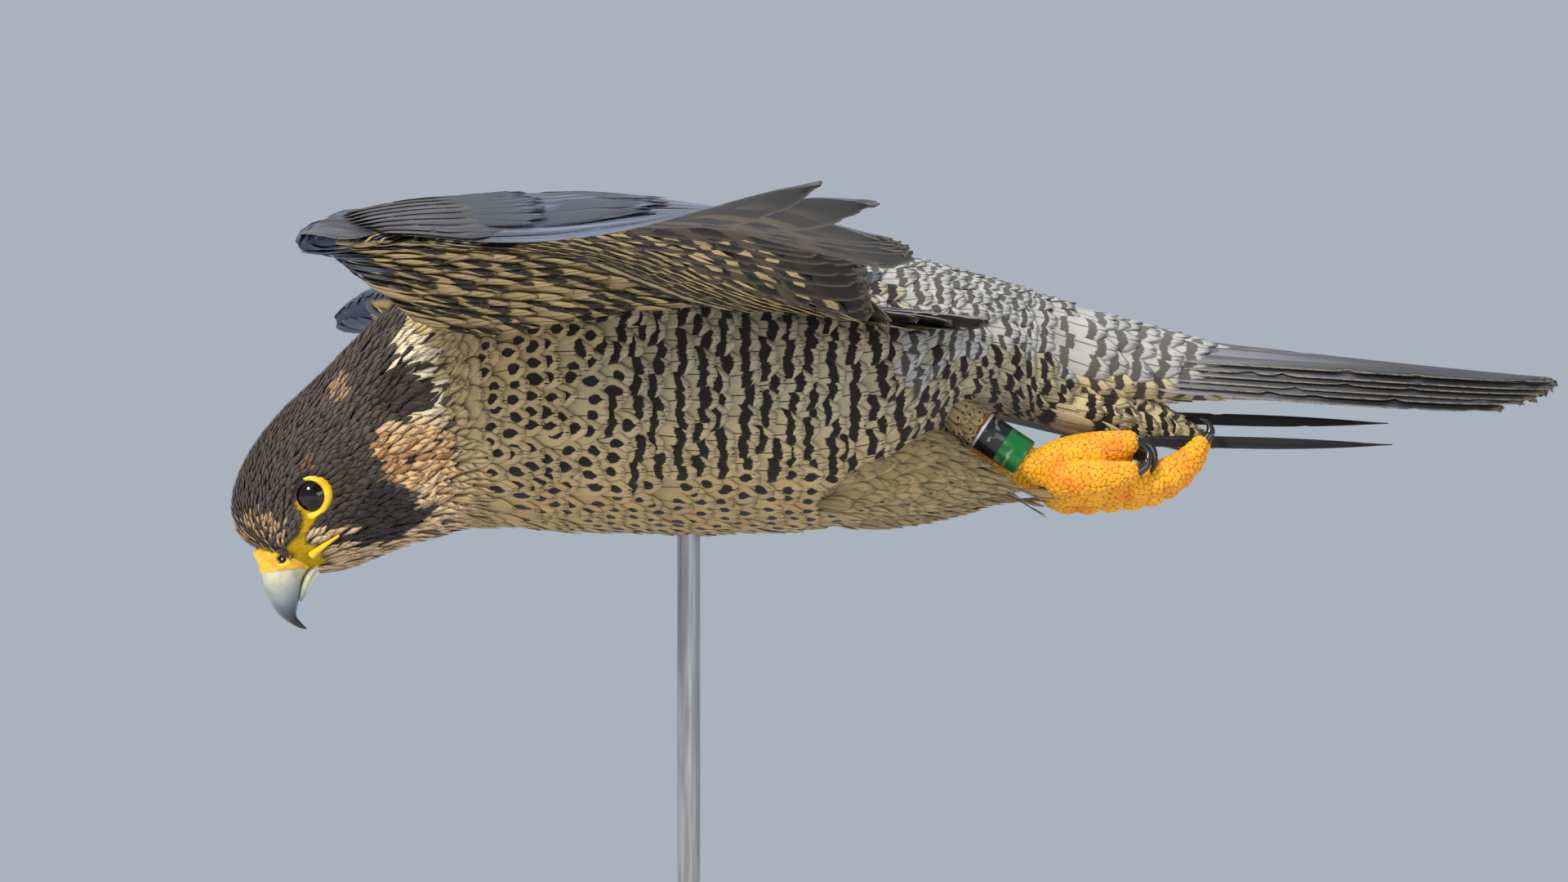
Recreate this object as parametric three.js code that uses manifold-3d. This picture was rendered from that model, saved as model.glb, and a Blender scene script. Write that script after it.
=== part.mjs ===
// A peregrine falcon in level flight, life size, held up by a plain display stand.
// Millimetres, +Z up. The bird is modelled in its own frame, with its head towards -X and its left side
// towards -Y. That frame is then banked and lifted over the stand, whose underside is at Z = 0.
import * as THREE from "three";
import { mergeVertices } from "three/addons/utils/BufferGeometryUtils.js";
import Module from "manifold-3d";

const wasm = await Module();
wasm.setup();

// Driving dimensions
const FLIGHT_HEIGHT = 232; // floor to the bird's own origin, at the middle of the torso
const BANK_DEG = -5; // the left wing is the raised one
const GAP = 0.32; // air kept between two nodes that meet
const WING_CHORD = 350; // wrist to the longest primary's tip
const TAIL_LENGTH = 176; // the middle tail feathers, root to tip
const BODY_SIDES = 20;

const BASE_RADIUS = 95;
const BASE_THICK = 10;
const ROD_RADIUS = 4;
const ROD_X = -16; // under the centre of mass

const colours = {
  slate: 0x4a4642, buff: 0xc2a679, grey: 0x8e8b86, flight: 0x3b3532, bill: 0x6d7680,
  cere: 0xf2c81c, eye: 0x140c08, foot: 0xe8a012, claw: 0x16130f, ring: 0x14702c, stand: 0x2b2b2d,
};
const finish = (name, roughness = 0.75, metalness = 0) =>
  new THREE.MeshStandardMaterial({ color: colours[name], roughness, metalness });

// Small tools: numbers, solids and lofts
const lerp = (a, b, t) => a + (b - a) * t;
const clamp01 = (t) => Math.min(1, Math.max(0, t));
const rad = (deg) => (deg * Math.PI) / 180;
const vec = (x, y, z) => new THREE.Vector3(x, y, z);

function solidOf(geometry) {
  const bare = new THREE.BufferGeometry().setAttribute("position", geometry.getAttribute("position"));
  if (geometry.index) bare.setIndex(geometry.index);
  const merged = mergeVertices(bare, 1e-4);
  return new wasm.Manifold(new wasm.Mesh({
    numProp: 3,
    vertProperties: new Float32Array(merged.attributes.position.array),
    triVerts: new Uint32Array(merged.index.array),
  }));
}

function geometryOf(solid) {
  const mesh = solid.getMesh();
  const geometry = new THREE.BufferGeometry();
  const places = new Float32Array(mesh.numVert * 3);
  for (let i = 0; i < mesh.numVert; i++) {
    places.set(mesh.vertProperties.subarray(i * mesh.numProp, i * mesh.numProp + 3), i * 3);
  }
  geometry.setAttribute("position", new THREE.BufferAttribute(places, 3));
  geometry.setIndex(new THREE.BufferAttribute(new Uint32Array(mesh.triVerts), 1));
  geometry.computeVertexNormals();
  return geometry;
}

// The largest closed surface of a solid: a sealed hollow is filled and a loose scrap is dropped.
function largestOf(solid) {
  const pieces = solid.decompose();
  return pieces.reduce((a, b) => (b.volume() > a.volume() ? b : a));
}

// Rings of points, all of one count, joined side by side and closed by a fan at each end. A blade has four
// corners in each ring, and its two broad sides are split along the same diagonal, so that they never cross.
function ringSolid(rings, blade = false) {
  const places = rings.flat().flatMap((p) => [p.x, p.y, p.z]);
  const sides = rings[0].length;
  const faces = [];
  for (let r = 0; r + 1 < rings.length; r++) {
    for (let i = 0; i < sides; i++) {
      const a = r * sides + i;
      const b = r * sides + ((i + 1) % sides);
      if (blade && i === 2) faces.push(a, b, a + sides, b, b + sides, a + sides);
      else faces.push(a, b, b + sides, a, b + sides, a + sides);
    }
  }
  const last = (rings.length - 1) * sides;
  for (let i = 1; i + 1 < sides; i++) {
    faces.push(0, i + 1, i, last, last + i, last + i + 1);
  }
  const geometry = new THREE.BufferGeometry();
  geometry.setAttribute("position", new THREE.BufferAttribute(new Float32Array(places), 3));
  geometry.setIndex(faces);
  const made = solidOf(geometry);
  if (made.volume() >= 0) return made;
  const turned = [];
  for (let i = 0; i < faces.length; i += 3) turned.push(faces[i], faces[i + 2], faces[i + 1]);
  geometry.setIndex(turned);
  return solidOf(geometry);
}

// Catmull-Rom value of one field along a list of stations, at a whole-number-and-fraction place.
function between(stations, field, at) {
  const last = stations.length - 1;
  const i = Math.min(last - 1, Math.floor(at));
  const t = at - i;
  const pick = (k) => stations[Math.min(last, Math.max(0, k))][field];
  const [p0, p1, p2, p3] = [pick(i - 1), pick(i), pick(i + 1), pick(i + 2)];
  return 0.5 * (2 * p1 + (p2 - p0) * t + (2 * p0 - 5 * p1 + 4 * p2 - p3) * t * t
    + (3 * p1 - p0 - 3 * p2 + p3) * t * t * t);
}

// A loft down the bird's middle plane. A station has its top point, its bottom point, its half width
// and how far down its widest line is. grow swells the whole shape, for cutting its neighbours clear.
function middleLoft(stations, steps, grow = 0, sides = BODY_SIDES) {
  const rings = [];
  for (let s = 0; s <= steps; s++) {
    const at = (s / steps) * (stations.length - 1);
    const top = vec(between(stations, "topX", at), 0, between(stations, "topZ", at));
    const low = vec(between(stations, "lowX", at), 0, between(stations, "lowZ", at));
    const up = top.clone().sub(low).normalize();
    const waist = top.clone().lerp(low, between(stations, "waist", at));
    const half = between(stations, "half", at) + grow;
    const rise = top.distanceTo(waist) + grow;
    const fall = low.distanceTo(waist) + grow;
    const ring = [];
    for (let i = 0; i < sides; i++) {
      const a = (i / sides) * 2 * Math.PI;
      const high = Math.sin(a) * (Math.sin(a) > 0 ? rise : fall);
      ring.push(waist.clone().addScaledVector(up, high).add(vec(0, Math.cos(a) * half, 0)));
    }
    rings.push(ring);
  }
  return ringSolid(rings);
}

const station = (topX, topZ, lowX, lowZ, half, waist = 0.5) => ({ topX, topZ, lowX, lowZ, half, waist });

// The trunk from the bill's root to the tail's root, as one flowing shape
const TRUNK = [
  station(-165, -49.5, -144, -57.5, 8.5), // face at the bill's root
  station(-171.5, -42.5, -143, -57.5, 13.5),
  station(-173.5, -33.5, -140.5, -57, 18),
  station(-171.5, -24, -137.5, -56, 22),
  station(-166, -13, -132, -54.5, 24.8, 0.47), // eyes
  station(-156, -0.5, -126, -52, 25.6, 0.46),
  station(-142, 12.5, -119, -49, 25.6, 0.47), // back of the head
  station(-128.5, 26, -111, -46, 26.5, 0.48),
  station(-114.5, 38, -102, -43.5, 29.5), // neck
  station(-96, 46.5, -94, -41, 36.5),
  station(-78, 51.5, -81, -40.5, 43.5), // shoulders
  station(-56, 55, -58, -42, 50, 0.52),
  station(-28, 57, -29, -43, 53.5, 0.53),
  station(0, 57, 0, -43, 53.5, 0.53), // deepest part of the breast
  station(28, 56, 29, -41, 50.5, 0.52),
  station(54, 53.5, 55, -34, 45, 0.5),
  station(80, 47, 80, -4, 35.5, 0.5),
  station(104, 40, 104, -4, 25, 0.5), // root of the tail
];
const TRUNK_STEPS = 36;
const trunk = middleLoft(TRUNK, TRUNK_STEPS);
const trunkGrown = middleLoft(TRUNK, TRUNK_STEPS, GAP);

// A slab across the middle plane that parts the trunk, through two points of that plane.
function slabThrough(ax, az, bx, bz, thick = GAP) {
  const reach = 90;
  const along = vec(bx - ax, 0, bz - az);
  const geometry = new THREE.BoxGeometry(thick, 2 * reach, along.length() + 2 * reach);
  geometry.rotateY(Math.atan2(along.x, along.z));
  geometry.translate((ax + bx) / 2, 0, (az + bz) / 2);
  return solidOf(geometry);
}

const headCut = slabThrough(-128.5, 26, -111, -46);
const neckCut = slabThrough(-84, 50, -86, -41);
const trunkParts = trunk.subtract(headCut).subtract(neckCut).decompose();
const middleX = (solid) => (solid.boundingBox().min[0] + solid.boundingBox().max[0]) / 2;
const [headBlank, neckBlank, torsoBlank] = trunkParts
  .filter((p) => p.volume() > 1000)
  .sort((a, b) => middleX(a) - middleX(b));

// Eyes, lids and brow
const EYE_RADIUS = 8.4;
const EYE = { x: -144, out: 17.2, z: -31 };
const EYE_FORWARD_DEG = 24; // how far the eye's axis turns towards the bill
const LID_RING = 7.3;
const LID_THICK = 1.5;

const eyeAxis = (side) => vec(-Math.sin(rad(EYE_FORWARD_DEG)) * 0.6, side * Math.cos(rad(EYE_FORWARD_DEG)),
  -Math.sin(rad(EYE_FORWARD_DEG)) * 0.5).normalize();

function eyeBall(side, grow = 0) {
  const geometry = new THREE.SphereGeometry(EYE_RADIUS + grow, 14, 9);
  geometry.translate(EYE.x, side * EYE.out, EYE.z);
  return solidOf(geometry);
}

function lidRing(side) {
  const geometry = new THREE.TorusGeometry(LID_RING, LID_THICK, 4, 16);
  const axis = eyeAxis(side);
  geometry.applyQuaternion(new THREE.Quaternion().setFromUnitVectors(vec(0, 0, 1), axis));
  const out = 5.2;
  geometry.translate(EYE.x + axis.x * out, side * EYE.out + axis.y * out, EYE.z + axis.z * out);
  return solidOf(geometry);
}

function browRidge(side) {
  const geometry = new THREE.SphereGeometry(1, 10, 6);
  geometry.scale(12, 3.6, 3.2);
  geometry.rotateY(rad(62));
  geometry.translate(EYE.x - 8.6, side * 20.4, EYE.z + 6.5);
  return solidOf(geometry);
}

// Bill: an upper half with its hook and cere, and a lower half that closes into it
const BILL_UPPER = [
  station(-162.5, -48, -138.5, -46, 9.5), // root, inside the face
  station(-165.5, -50, -137.5, -47.3, 10.6), // cere and the corner of the mouth
  station(-164, -53.5, -141.5, -51.8, 10),
  station(-163, -57.5, -145.5, -55.5, 9),
  station(-162.2, -62, -148.4, -58.8, 7.7),
  station(-160.3, -66.8, -149.4, -63, 6.2),
  station(-157.4, -71, -150.4, -67.4, 4.6), // the notch before the hook
  station(-154, -73.8, -151, -71.6, 3),
  station(-150.4, -75.8, -149.2, -74.2, 1.5),
  station(-147.6, -76.4, -147.4, -76, 0.4), // tip of the hook
];
const BILL_LOWER = [
  station(-138.5, -49.5, -141, -56.8, 8.6),
  station(-142.4, -53.2, -143, -59.2, 7.6),
  station(-146.2, -57.6, -145, -62.6, 6),
  station(-148.2, -61.8, -146.8, -66.4, 4.2),
  station(-149.2, -66, -148.8, -68.4, 1.6),
];
const BILL_SIDES = 14;
const NOSTRIL = { x: -155.6, z: -52.8, radius: 1.7, post: 0.6 };

function nostrilDrill(side, radius, deep) {
  const geometry = new THREE.CylinderGeometry(radius, radius, deep, 12);
  geometry.translate(NOSTRIL.x, side * 9.2, NOSTRIL.z);
  return solidOf(geometry);
}

function upperBill() {
  let solid = middleLoft(BILL_UPPER, 15, 0, BILL_SIDES);
  for (const side of [-1, 1]) {
    solid = solid.subtract(nostrilDrill(side, NOSTRIL.radius, 5));
    solid = solid.add(nostrilDrill(side, NOSTRIL.post, 3.2).translate([0, -side * 1.2, 0]));
  }
  return largestOf(solid);
}

function lowerBill() {
  const upperGrown = middleLoft(BILL_UPPER, 15, GAP, BILL_SIDES);
  return largestOf(middleLoft(BILL_LOWER, 8, 0, BILL_SIDES).subtract(upperGrown));
}

function head() {
  let solid = headBlank;
  for (const side of [-1, 1]) solid = solid.add(lidRing(side)).add(browRidge(side));
  for (const side of [-1, 1]) solid = solid.subtract(eyeBall(side, GAP));
  solid = solid.subtract(middleLoft(BILL_UPPER, 15, GAP, BILL_SIDES));
  solid = solid.subtract(middleLoft(BILL_LOWER, 8, GAP, BILL_SIDES));
  return largestOf(solid);
}

// Wings
// A wing is laid out in plan, by x and by the distance out from the middle plane. The height comes from
// wingHeight. Every flight feather is one vane whose root is sunk in the wing's core.
const WRIST = { x: -143, out: 125 };
const ELBOW = { x: -50, out: 86 };
const ARMPIT = { x: 4, out: 47 };
const HAND_LENGTH = 62;
const PRIMARIES = 10;
const SECONDARIES = 12;
const OUTER_WIDTH = 26; // vane of the outermost primary
const INNER_WIDTH = 38; // vane of an inner primary
const SECONDARY_WIDTH = 32;
const VANE_THICK = 0.6;
const VANE_STACK = 0.92; // each inner feather lies this much above its outer neighbour
const VANE_TILT = Math.tan(rad(6)); // its inner edge is the lower one
const FEATHERS = PRIMARIES + SECONDARIES;
const COVERT_TIERS = [{ face: 1, every: 2, width: 25 }, { face: -1, every: 3, width: 32 }];
const COVERT_LIFT = 4.4;

// arch is the height at the crest; the armpit, the tip and the wrist's nose lie lower by the amounts named, the
// hand's leading edge is rolled down by roll, and the trailing edge sinks by fall.
const wings = {
  left: {
    side: -1, sweep: 30, innermost: 77, arch: 50.5, armpitLow: 32, noseLow: 12, roll: 14.5, fall: 22,
    tipOut: 425, tipLow: 27, tipPower: 0.95,
  },
  right: {
    side: 1, sweep: 61, innermost: 86, arch: 47, armpitLow: 18, noseLow: 9, roll: 0, fall: 0,
    tipOut: 300, tipLow: 46, tipPower: 1.7,
  },
};
const CREST_OUT = 150;
const ROLL_LENGTH = 345; // along the leading edge, from the wrist
const ROLL_BAND = 60; // in from the leading edge

const bearing = (deg) => ({ x: Math.sin(rad(deg)), out: Math.cos(rad(deg)) });

// Height of the wing's middle surface: an arch from the shoulder up to the wrist and down to the tip.
function wingHeight(wing, x, out) {
  const inner = wing.armpitLow * Math.pow(clamp01((CREST_OUT - out) / 110), 1.6);
  const outer = wing.tipLow * Math.pow(clamp01((out - CREST_OUT) / (wing.tipOut - CREST_OUT)), wing.tipPower);
  const arch = wing.arch - (out < CREST_OUT ? inner : outer);
  const camber = -wing.noseLow * Math.pow(clamp01((-x - 95) / 55), 2) * clamp01((out - 90) / 60);
  const rear = -5 * clamp01((x - 20) / 60) * clamp01((120 - out) / 60);
  const levelled = VANE_STACK * FEATHERS * (clamp01((out - 60) / 340) - 0.5) * 0.8;
  const way = bearing(wing.sweep);
  const ahead = (x - WRIST.x) * way.x + (out - WRIST.out) * way.out;
  const behind = (x - WRIST.x) * way.out - (out - WRIST.out) * way.x + 8;
  const swell = Math.sin(Math.PI * Math.pow(clamp01(ahead / ROLL_LENGTH), 1.25));
  const rolled = wing.roll * swell * Math.pow(1 - clamp01(behind / ROLL_BAND), 1.7);
  const sunk = wing.fall * Math.pow(clamp01((x + 50) / 100), 1.5) * clamp01((out - 42) / 40) * clamp01(behind / 40);
  return arch + camber + rear + levelled - rolled - sunk;
}

// Plan of one flight feather, numbered from the outermost primary to the innermost tertial
function featherPlan(wing, index) {
  if (index < PRIMARIES) {
    const inward = index / (PRIMARIES - 1);
    const handWay = bearing(wing.sweep - 4);
    const reach = HAND_LENGTH * (1 - inward);
    const root = { x: WRIST.x + 6 + handWay.x * reach, out: WRIST.out - 4 + handWay.out * reach };
    const later = clamp01((index - 1) / 8);
    const shorter = Math.pow(later, 1.05) + 0.09 * Math.sin(Math.PI * later);
    const chord = lerp(WING_CHORD, 186, shorter) * (index === 0 ? 0.97 : 1);
    const way = bearing(lerp(wing.sweep, wing.innermost, Math.pow(inward, 1.4)));
    return { root, tip: { x: WRIST.x + way.x * chord, out: WRIST.out + way.out * chord }, primary: true };
  }
  const inward = (index - PRIMARIES + 0.6) / SECONDARIES;
  const p1 = featherPlan(wing, PRIMARIES - 1).tip;
  const onUlna = clamp01(inward / 0.72);
  const onHumerus = clamp01((inward - 0.72) / 0.28);
  const root = {
    x: lerp(lerp(WRIST.x + 8, ELBOW.x, onUlna), ARMPIT.x, onHumerus),
    out: lerp(lerp(WRIST.out - 5, ELBOW.out, onUlna), ARMPIT.out, onHumerus),
  };
  const tip = {
    x: p1.x + 12 * inward + (80 - p1.x) * Math.pow(clamp01((inward - 0.62) / 0.38), 1.5),
    out: lerp(p1.out, 42, inward),
  };
  return { root, tip, primary: false };
}

// Share of the full width along a vane: narrow at the quill, full in the middle, round or pointed at its tip
function vaneShare(u, pointed) {
  const quill = Math.min(1, 0.35 + 2.6 * u);
  const from = pointed ? 0.66 : 0.8;
  const tip = u < from ? 1 : Math.pow(1 - Math.pow((u - from) / (1.0001 - from), 2), pointed ? 0.7 : 0.5);
  return quill * tip;
}

// One vane: a thin blade of four-cornered rings along a line in plan, laid on a height function
function vane({ root, tip, width, height, stack, side, pointed, steps, bend = 0, rootThick = 1.6, lean = 0.5 }) {
  const along = { x: tip.x - root.x, out: tip.out - root.out };
  const long = Math.hypot(along.x, along.out);
  const across = { x: -along.out / long, out: along.x / long }; // towards the leading edge
  const rings = [];
  for (let s = 0; s <= steps; s++) {
    const u = 1 - Math.pow(1 - s / steps, 1.35);
    const bow = bend * 4 * u * (1 - u);
    const centre = {
      x: root.x + along.x * u + across.x * bow,
      out: root.out + along.out * u + across.out * bow,
    };
    const share = Math.max(0.06, vaneShare(u, pointed)) * width;
    const thick = lerp(rootThick, VANE_THICK, clamp01(u * 2.5)) / 2;
    const edge = (far) => {
      const off = far * share;
      const x = centre.x + across.x * off;
      const out = centre.out + across.out * off;
      return { x, out, z: height(x, out) + stack + off * VANE_TILT };
    };
    const front = edge(1 - lean);
    const rear = edge(-lean);
    rings.push([
      vec(front.x, side * front.out, front.z + thick), vec(rear.x, side * rear.out, rear.z + thick),
      vec(rear.x, side * rear.out, rear.z - thick), vec(front.x, side * front.out, front.z - thick),
    ]);
  }
  return ringSolid(rings, true);
}

// The fleshy front of the wing: rings from the shoulder out to the end of the hand
function wingCore(wing) {
  const handWay = bearing(wing.sweep - 4);
  const rings = [];
  const steps = 10;
  for (let s = 0; s <= steps; s++) {
    const t = s / steps;
    const onArm = clamp01(t / 0.6);
    const onHand = clamp01((t - 0.6) / 0.4);
    const out = lerp(36, WRIST.out, onArm) + handWay.out * (HAND_LENGTH + 10) * onHand;
    const lead = lerp(-110, WRIST.x - 3, Math.pow(onArm, 0.8)) + handWay.x * (HAND_LENGTH + 10) * onHand;
    const chord = lerp(lerp(122, 46, Math.pow(onArm, 1.3)), 13, onHand);
    const thick = lerp(lerp(20, 13, onArm), 4, onHand);
    const ring = [];
    const sides = 8;
    for (let i = 0; i < sides; i++) {
      const a = (i / sides) * 2 * Math.PI;
      const back = (1 - Math.cos(a)) / 2;
      const x = lead + chord * Math.pow(back, 1.25);
      const fat = thick * Math.max(0.24, Math.sqrt(1 - Math.pow(back, 1.6)));
      const level = wingHeight(wing, x, out) + VANE_STACK * indexAt(wing, out) - 0.5;
      ring.push(vec(x, wing.side * out, level + Math.sin(a) * fat * 0.5));
    }
    rings.push(ring);
  }
  return ringSolid(rings);
}

// Which feather, counted from the outermost, roots at a distance out
const indexAt = (wing, out) => FEATHERS * (1 - clamp01((out - 48) / (WRIST.out + HAND_LENGTH * 0.7 - 48)));

function wingSolid(wing) {
  const pieces = [wingCore(wing)];
  for (let index = 0; index < FEATHERS; index++) {
    const { root, tip, primary } = featherPlan(wing, index);
    pieces.push(vane({
      root, tip, side: wing.side,
      width: primary ? lerp(OUTER_WIDTH, INNER_WIDTH, clamp01(index / 4)) : SECONDARY_WIDTH,
      height: (x, out) => wingHeight(wing, x, out),
      stack: VANE_STACK * index,
      pointed: primary && index < 5,
      steps: primary ? 5 : 4,
      lean: primary ? lerp(0.68, 0.55, index / 9) : 0.5,
    }));
  }
  // a tier of greater coverts above the flight feathers and one below, each covert over a few of them
  for (const { face, every, width } of COVERT_TIERS) {
    for (let index = 0; index < FEATHERS; index += every) {
      const { root, tip, primary } = featherPlan(wing, index);
      const cover = primary ? 0.36 : 0.46;
      pieces.push(vane({
        root, side: wing.side, width, pointed: false, steps: 2,
        tip: { x: lerp(root.x, tip.x, cover), out: lerp(root.out, tip.out, cover) },
        height: (x, out) => wingHeight(wing, x, out) + face * COVERT_LIFT,
        stack: VANE_STACK * index,
      }));
    }
  }
  return largestOf(wasm.Manifold.union(pieces).subtract(trunkGrown));
}

// Tail: a core of covert feathers, the long feathers closed over each other, and the barred undertail
const TAIL_ROOT = vec(92, 0, 21.5);
const TAIL_DROP_DEG = 5.4;
const TAIL_PAIRS = 6;
const TAIL_FEATHER_WIDTH = 22;
const TAIL_STACK = 0.86;
const TAIL_ROLL_DEG = 27; // the left edge is the lower one
const SPARE_LENGTH = 108; // the two growing outer feathers that hang apart below the rest

// The tail's own frame: u along it from the rump, w across it, lift out of its upper face
function tailPoint(u, w, lift) {
  const rollIn = clamp01((u - 12) / 45);
  const roll = rad(TAIL_ROLL_DEG * rollIn * lerp(1, 0.3, clamp01((u - 60) / 130)));
  const drop = rad(TAIL_DROP_DEG);
  const y = w * Math.cos(roll) - lift * Math.sin(roll);
  const z = w * Math.sin(roll) + lift * Math.cos(roll);
  return vec(TAIL_ROOT.x + u * Math.cos(drop) + z * Math.sin(drop), y,
    TAIL_ROOT.z - u * Math.sin(drop) + z * Math.cos(drop));
}

function tailVane(pair, side) {
  const from = 30;
  const length = TAIL_LENGTH + 14 - from - 0.75 * pair * pair;
  const layer = -TAIL_STACK * (2 * pair + (side > 0 ? 1 : 0));
  const rings = [];
  const steps = 5;
  for (let s = 0; s <= steps; s++) {
    const u = 1 - Math.pow(1 - s / steps, 1.4);
    const middle = side * lerp(1 + 1.5 * pair, 2 + 2.9 * pair, u);
    const share = Math.max(0.1, vaneShare(u, false)) * TAIL_FEATHER_WIDTH * 0.5;
    const thick = lerp(0.7, VANE_THICK, clamp01(2 * u)) / 2;
    const place = (w, up) => tailPoint(from + length * u, w, layer - 0.003 * w * w + 5.5 + up);
    const [wa, wb] = [middle - share, middle + share];
    rings.push([place(wa, thick), place(wb, thick), place(wb, -thick), place(wa, -thick)]);
  }
  return ringSolid(rings, true);
}

// A growing outer feather: a narrow spike below the closed tail
function spareFeather(side, low) {
  const rings = [];
  const steps = 4;
  for (let s = 0; s <= steps; s++) {
    const u = s / steps;
    const half = lerp(3.2, 0.5, Math.pow(u, 1.6));
    const x = 118 + (SPARE_LENGTH - 18) * u;
    const z = lerp(low + 3, low, u);
    const y = side * lerp(7, 11, u);
    rings.push([vec(x, y - 0.8, z), vec(x, y, z + half * 0.6), vec(x, y + 0.8, z), vec(x, y, z - half * 0.6)]);
  }
  return ringSolid(rings);
}

// Elliptical rings along the tail: the coverts that close over the roots of the long feathers
function tailCore() {
  const rings = [];
  const steps = 7;
  for (let s = 0; s <= steps; s++) {
    const t = s / steps;
    const half = lerp(24.6, 10, Math.pow(t, 0.9));
    const up = lerp(22, 5.5, Math.pow(t, 0.9));
    const down = lerp(22, 6, Math.pow(t, 0.55));
    const ring = [];
    for (let i = 0; i < 14; i++) {
      const a = (i / 14) * 2 * Math.PI;
      const high = Math.sin(a) > 0 ? up : down;
      ring.push(tailPoint(12 + 84 * t, Math.cos(a) * half, Math.sin(a) * high - 2.5));
    }
    rings.push(ring);
  }
  return ringSolid(rings);
}

const UNDERTAIL = [
  station(98, 12, 98, -3, 17),
  station(112, 12, 112, -8, 16.5),
  station(128, 8, 128, -10.5, 14),
  station(144, 3, 144, -12.5, 10),
  station(156, -4, 156, -13.2, 6),
  station(164, -10, 164, -13.4, 2),
];

function tailSolid() {
  const pieces = [tailCore(), middleLoft(UNDERTAIL, 7, 0, 12), spareFeather(-1, -13.6), spareFeather(1, -4.2)];
  for (let pair = 0; pair < TAIL_PAIRS; pair++) {
    for (const side of [-1, 1]) pieces.push(tailVane(pair, side));
  }
  return largestOf(wasm.Manifold.union(pieces).subtract(trunkGrown));
}

// Legs: a feathered thigh, then the bare shank and foot, drawn up under the tail with the toes closed
const LEG_OUT = 21;
const THIGH = [
  station(24, -18, 26, -38, 8),
  station(38, -10, 38, -39.5, 14),
  station(54, -8, 54, -39.5, 15.5),
  station(68, -9, 68, -37.5, 14),
  station(80, -16, 80, -34.5, 10.5),
  station(89, -22.5, 89, -31.8, 6.5),
  station(97, -28.5, 97, -30.5, 1.5),
];
const thigh = (side, grow = 0) => middleLoft(THIGH, 12, grow, 16).translate([0, side * LEG_OUT, 0]);

// A tube along points (x, out, z, radius), closed at both ends
function tube(points, side, sides = 8, steps = 3) {
  const curve = new THREE.CatmullRomCurve3(points.map(([x, out, z]) => vec(x, side * out, z)));
  const rings = [];
  const count = (points.length - 1) * steps;
  for (let s = 0; s <= count; s++) {
    const t = s / count;
    const at = t * (points.length - 1);
    const i = Math.min(points.length - 2, Math.floor(at));
    const radius = lerp(points[i][3], points[i + 1][3], at - i);
    const centre = curve.getPoint(t);
    const ahead = curve.getTangent(t).normalize();
    const flank = vec(0, 1, 0).cross(ahead).normalize();
    const up = ahead.clone().cross(flank).normalize();
    const ring = [];
    for (let k = 0; k < sides; k++) {
      const a = (k / sides) * 2 * Math.PI;
      ring.push(centre.clone().addScaledVector(flank, Math.cos(a) * radius)
        .addScaledVector(up, Math.sin(a) * radius));
    }
    rings.push(ring);
  }
  return ringSolid(rings);
}

const RING = { x: 91.8, z: -14.2, length: 18, inner: 5.3, outer: 6.9 };
const SHANK_WAY = vec(0.83, 0, -0.557);
const onShank = (d, radius) => [RING.x + SHANK_WAY.x * d, LEG_OUT, RING.z + SHANK_WAY.z * d, radius];
const PALM = [104.5, 20, -22.5];
const TOES = [
  { name: "hallux", path: [[...PALM, 4.4], [112, 21, -16, 4.2], [124, 22, -13.6, 3.9], [135, 22, -13, 3.2]],
    claw: [[136, 22, -13, 2.5], [141.5, 22, -15, 2.1], [143.6, 22, -20, 1.3], [142, 22, -25.5, 0.25]] },
  { name: "inner", path: [[...PALM, 4.4], [113, 12.5, -25.5, 4], [125, 9, -27, 3.8], [136, 10, -24, 3.1]],
    claw: [[137, 10, -23.5, 2.2], [141, 10.5, -20, 1.8], [141.5, 11, -15.5, 1], [138.5, 11.5, -12.5, 0.2]] },
  { name: "middle", path: [[...PALM, 4.6], [115, 17.5, -27.3, 4.4], [130, 17, -28, 4.2], [145, 17, -26.5, 3.8],
    [155, 17, -20.5, 3.4], [160, 17, -14, 2.9]],
    claw: [[160.5, 17, -13.8, 2.1], [163, 17, -10.4, 1.7], [162.6, 17, -7, 1], [159.4, 17, -5, 0.2]] },
  { name: "outer", path: [[...PALM, 4.4], [112, 26.5, -26.5, 4], [124, 28.5, -27.6, 3.7], [135, 27.5, -25.5, 3.1]],
    claw: [[136, 27.4, -25.2, 2.1], [140.5, 27, -22, 1.7], [141.5, 26.8, -18, 1], [139, 26.6, -14.6, 0.2]] },
];

function clawSolid(toe, side) {
  const made = tube(toe.claw, side, 6, 2);
  return largestOf(made.subtract(footBlank(side, GAP)));
}

// Shank and toes with the swollen pads under each joint; grow swells them, for cutting the claws clear
function footBlank(side, grow = 0) {
  const pieces = [tube([onShank(-15, 4.6), onShank(0, 4.7), onShank(9.5, 4.8), [...PALM, 5.6]]
    .map(([x, out, z, r]) => [x, out, z, r + grow]), side, 8, 2)];
  for (const toe of TOES) {
    pieces.push(tube(toe.path.map(([x, out, z, r]) => [x, out, z, r + grow]), side, 6, 2));
    for (const [x, out, z, r] of toe.path.slice(2, -1)) {
      const pad = new THREE.SphereGeometry(r * 1.16 + grow, 6, 4);
      pad.translate(x, side * out, z - 0.9);
      pieces.push(solidOf(pad));
    }
  }
  return wasm.Manifold.union(pieces);
}

const footSolid = (side) => largestOf(footBlank(side).subtract(thigh(side, GAP)).subtract(trunkGrown)
  .subtract(middleLoft(UNDERTAIL, 7, GAP, 12)));

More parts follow.
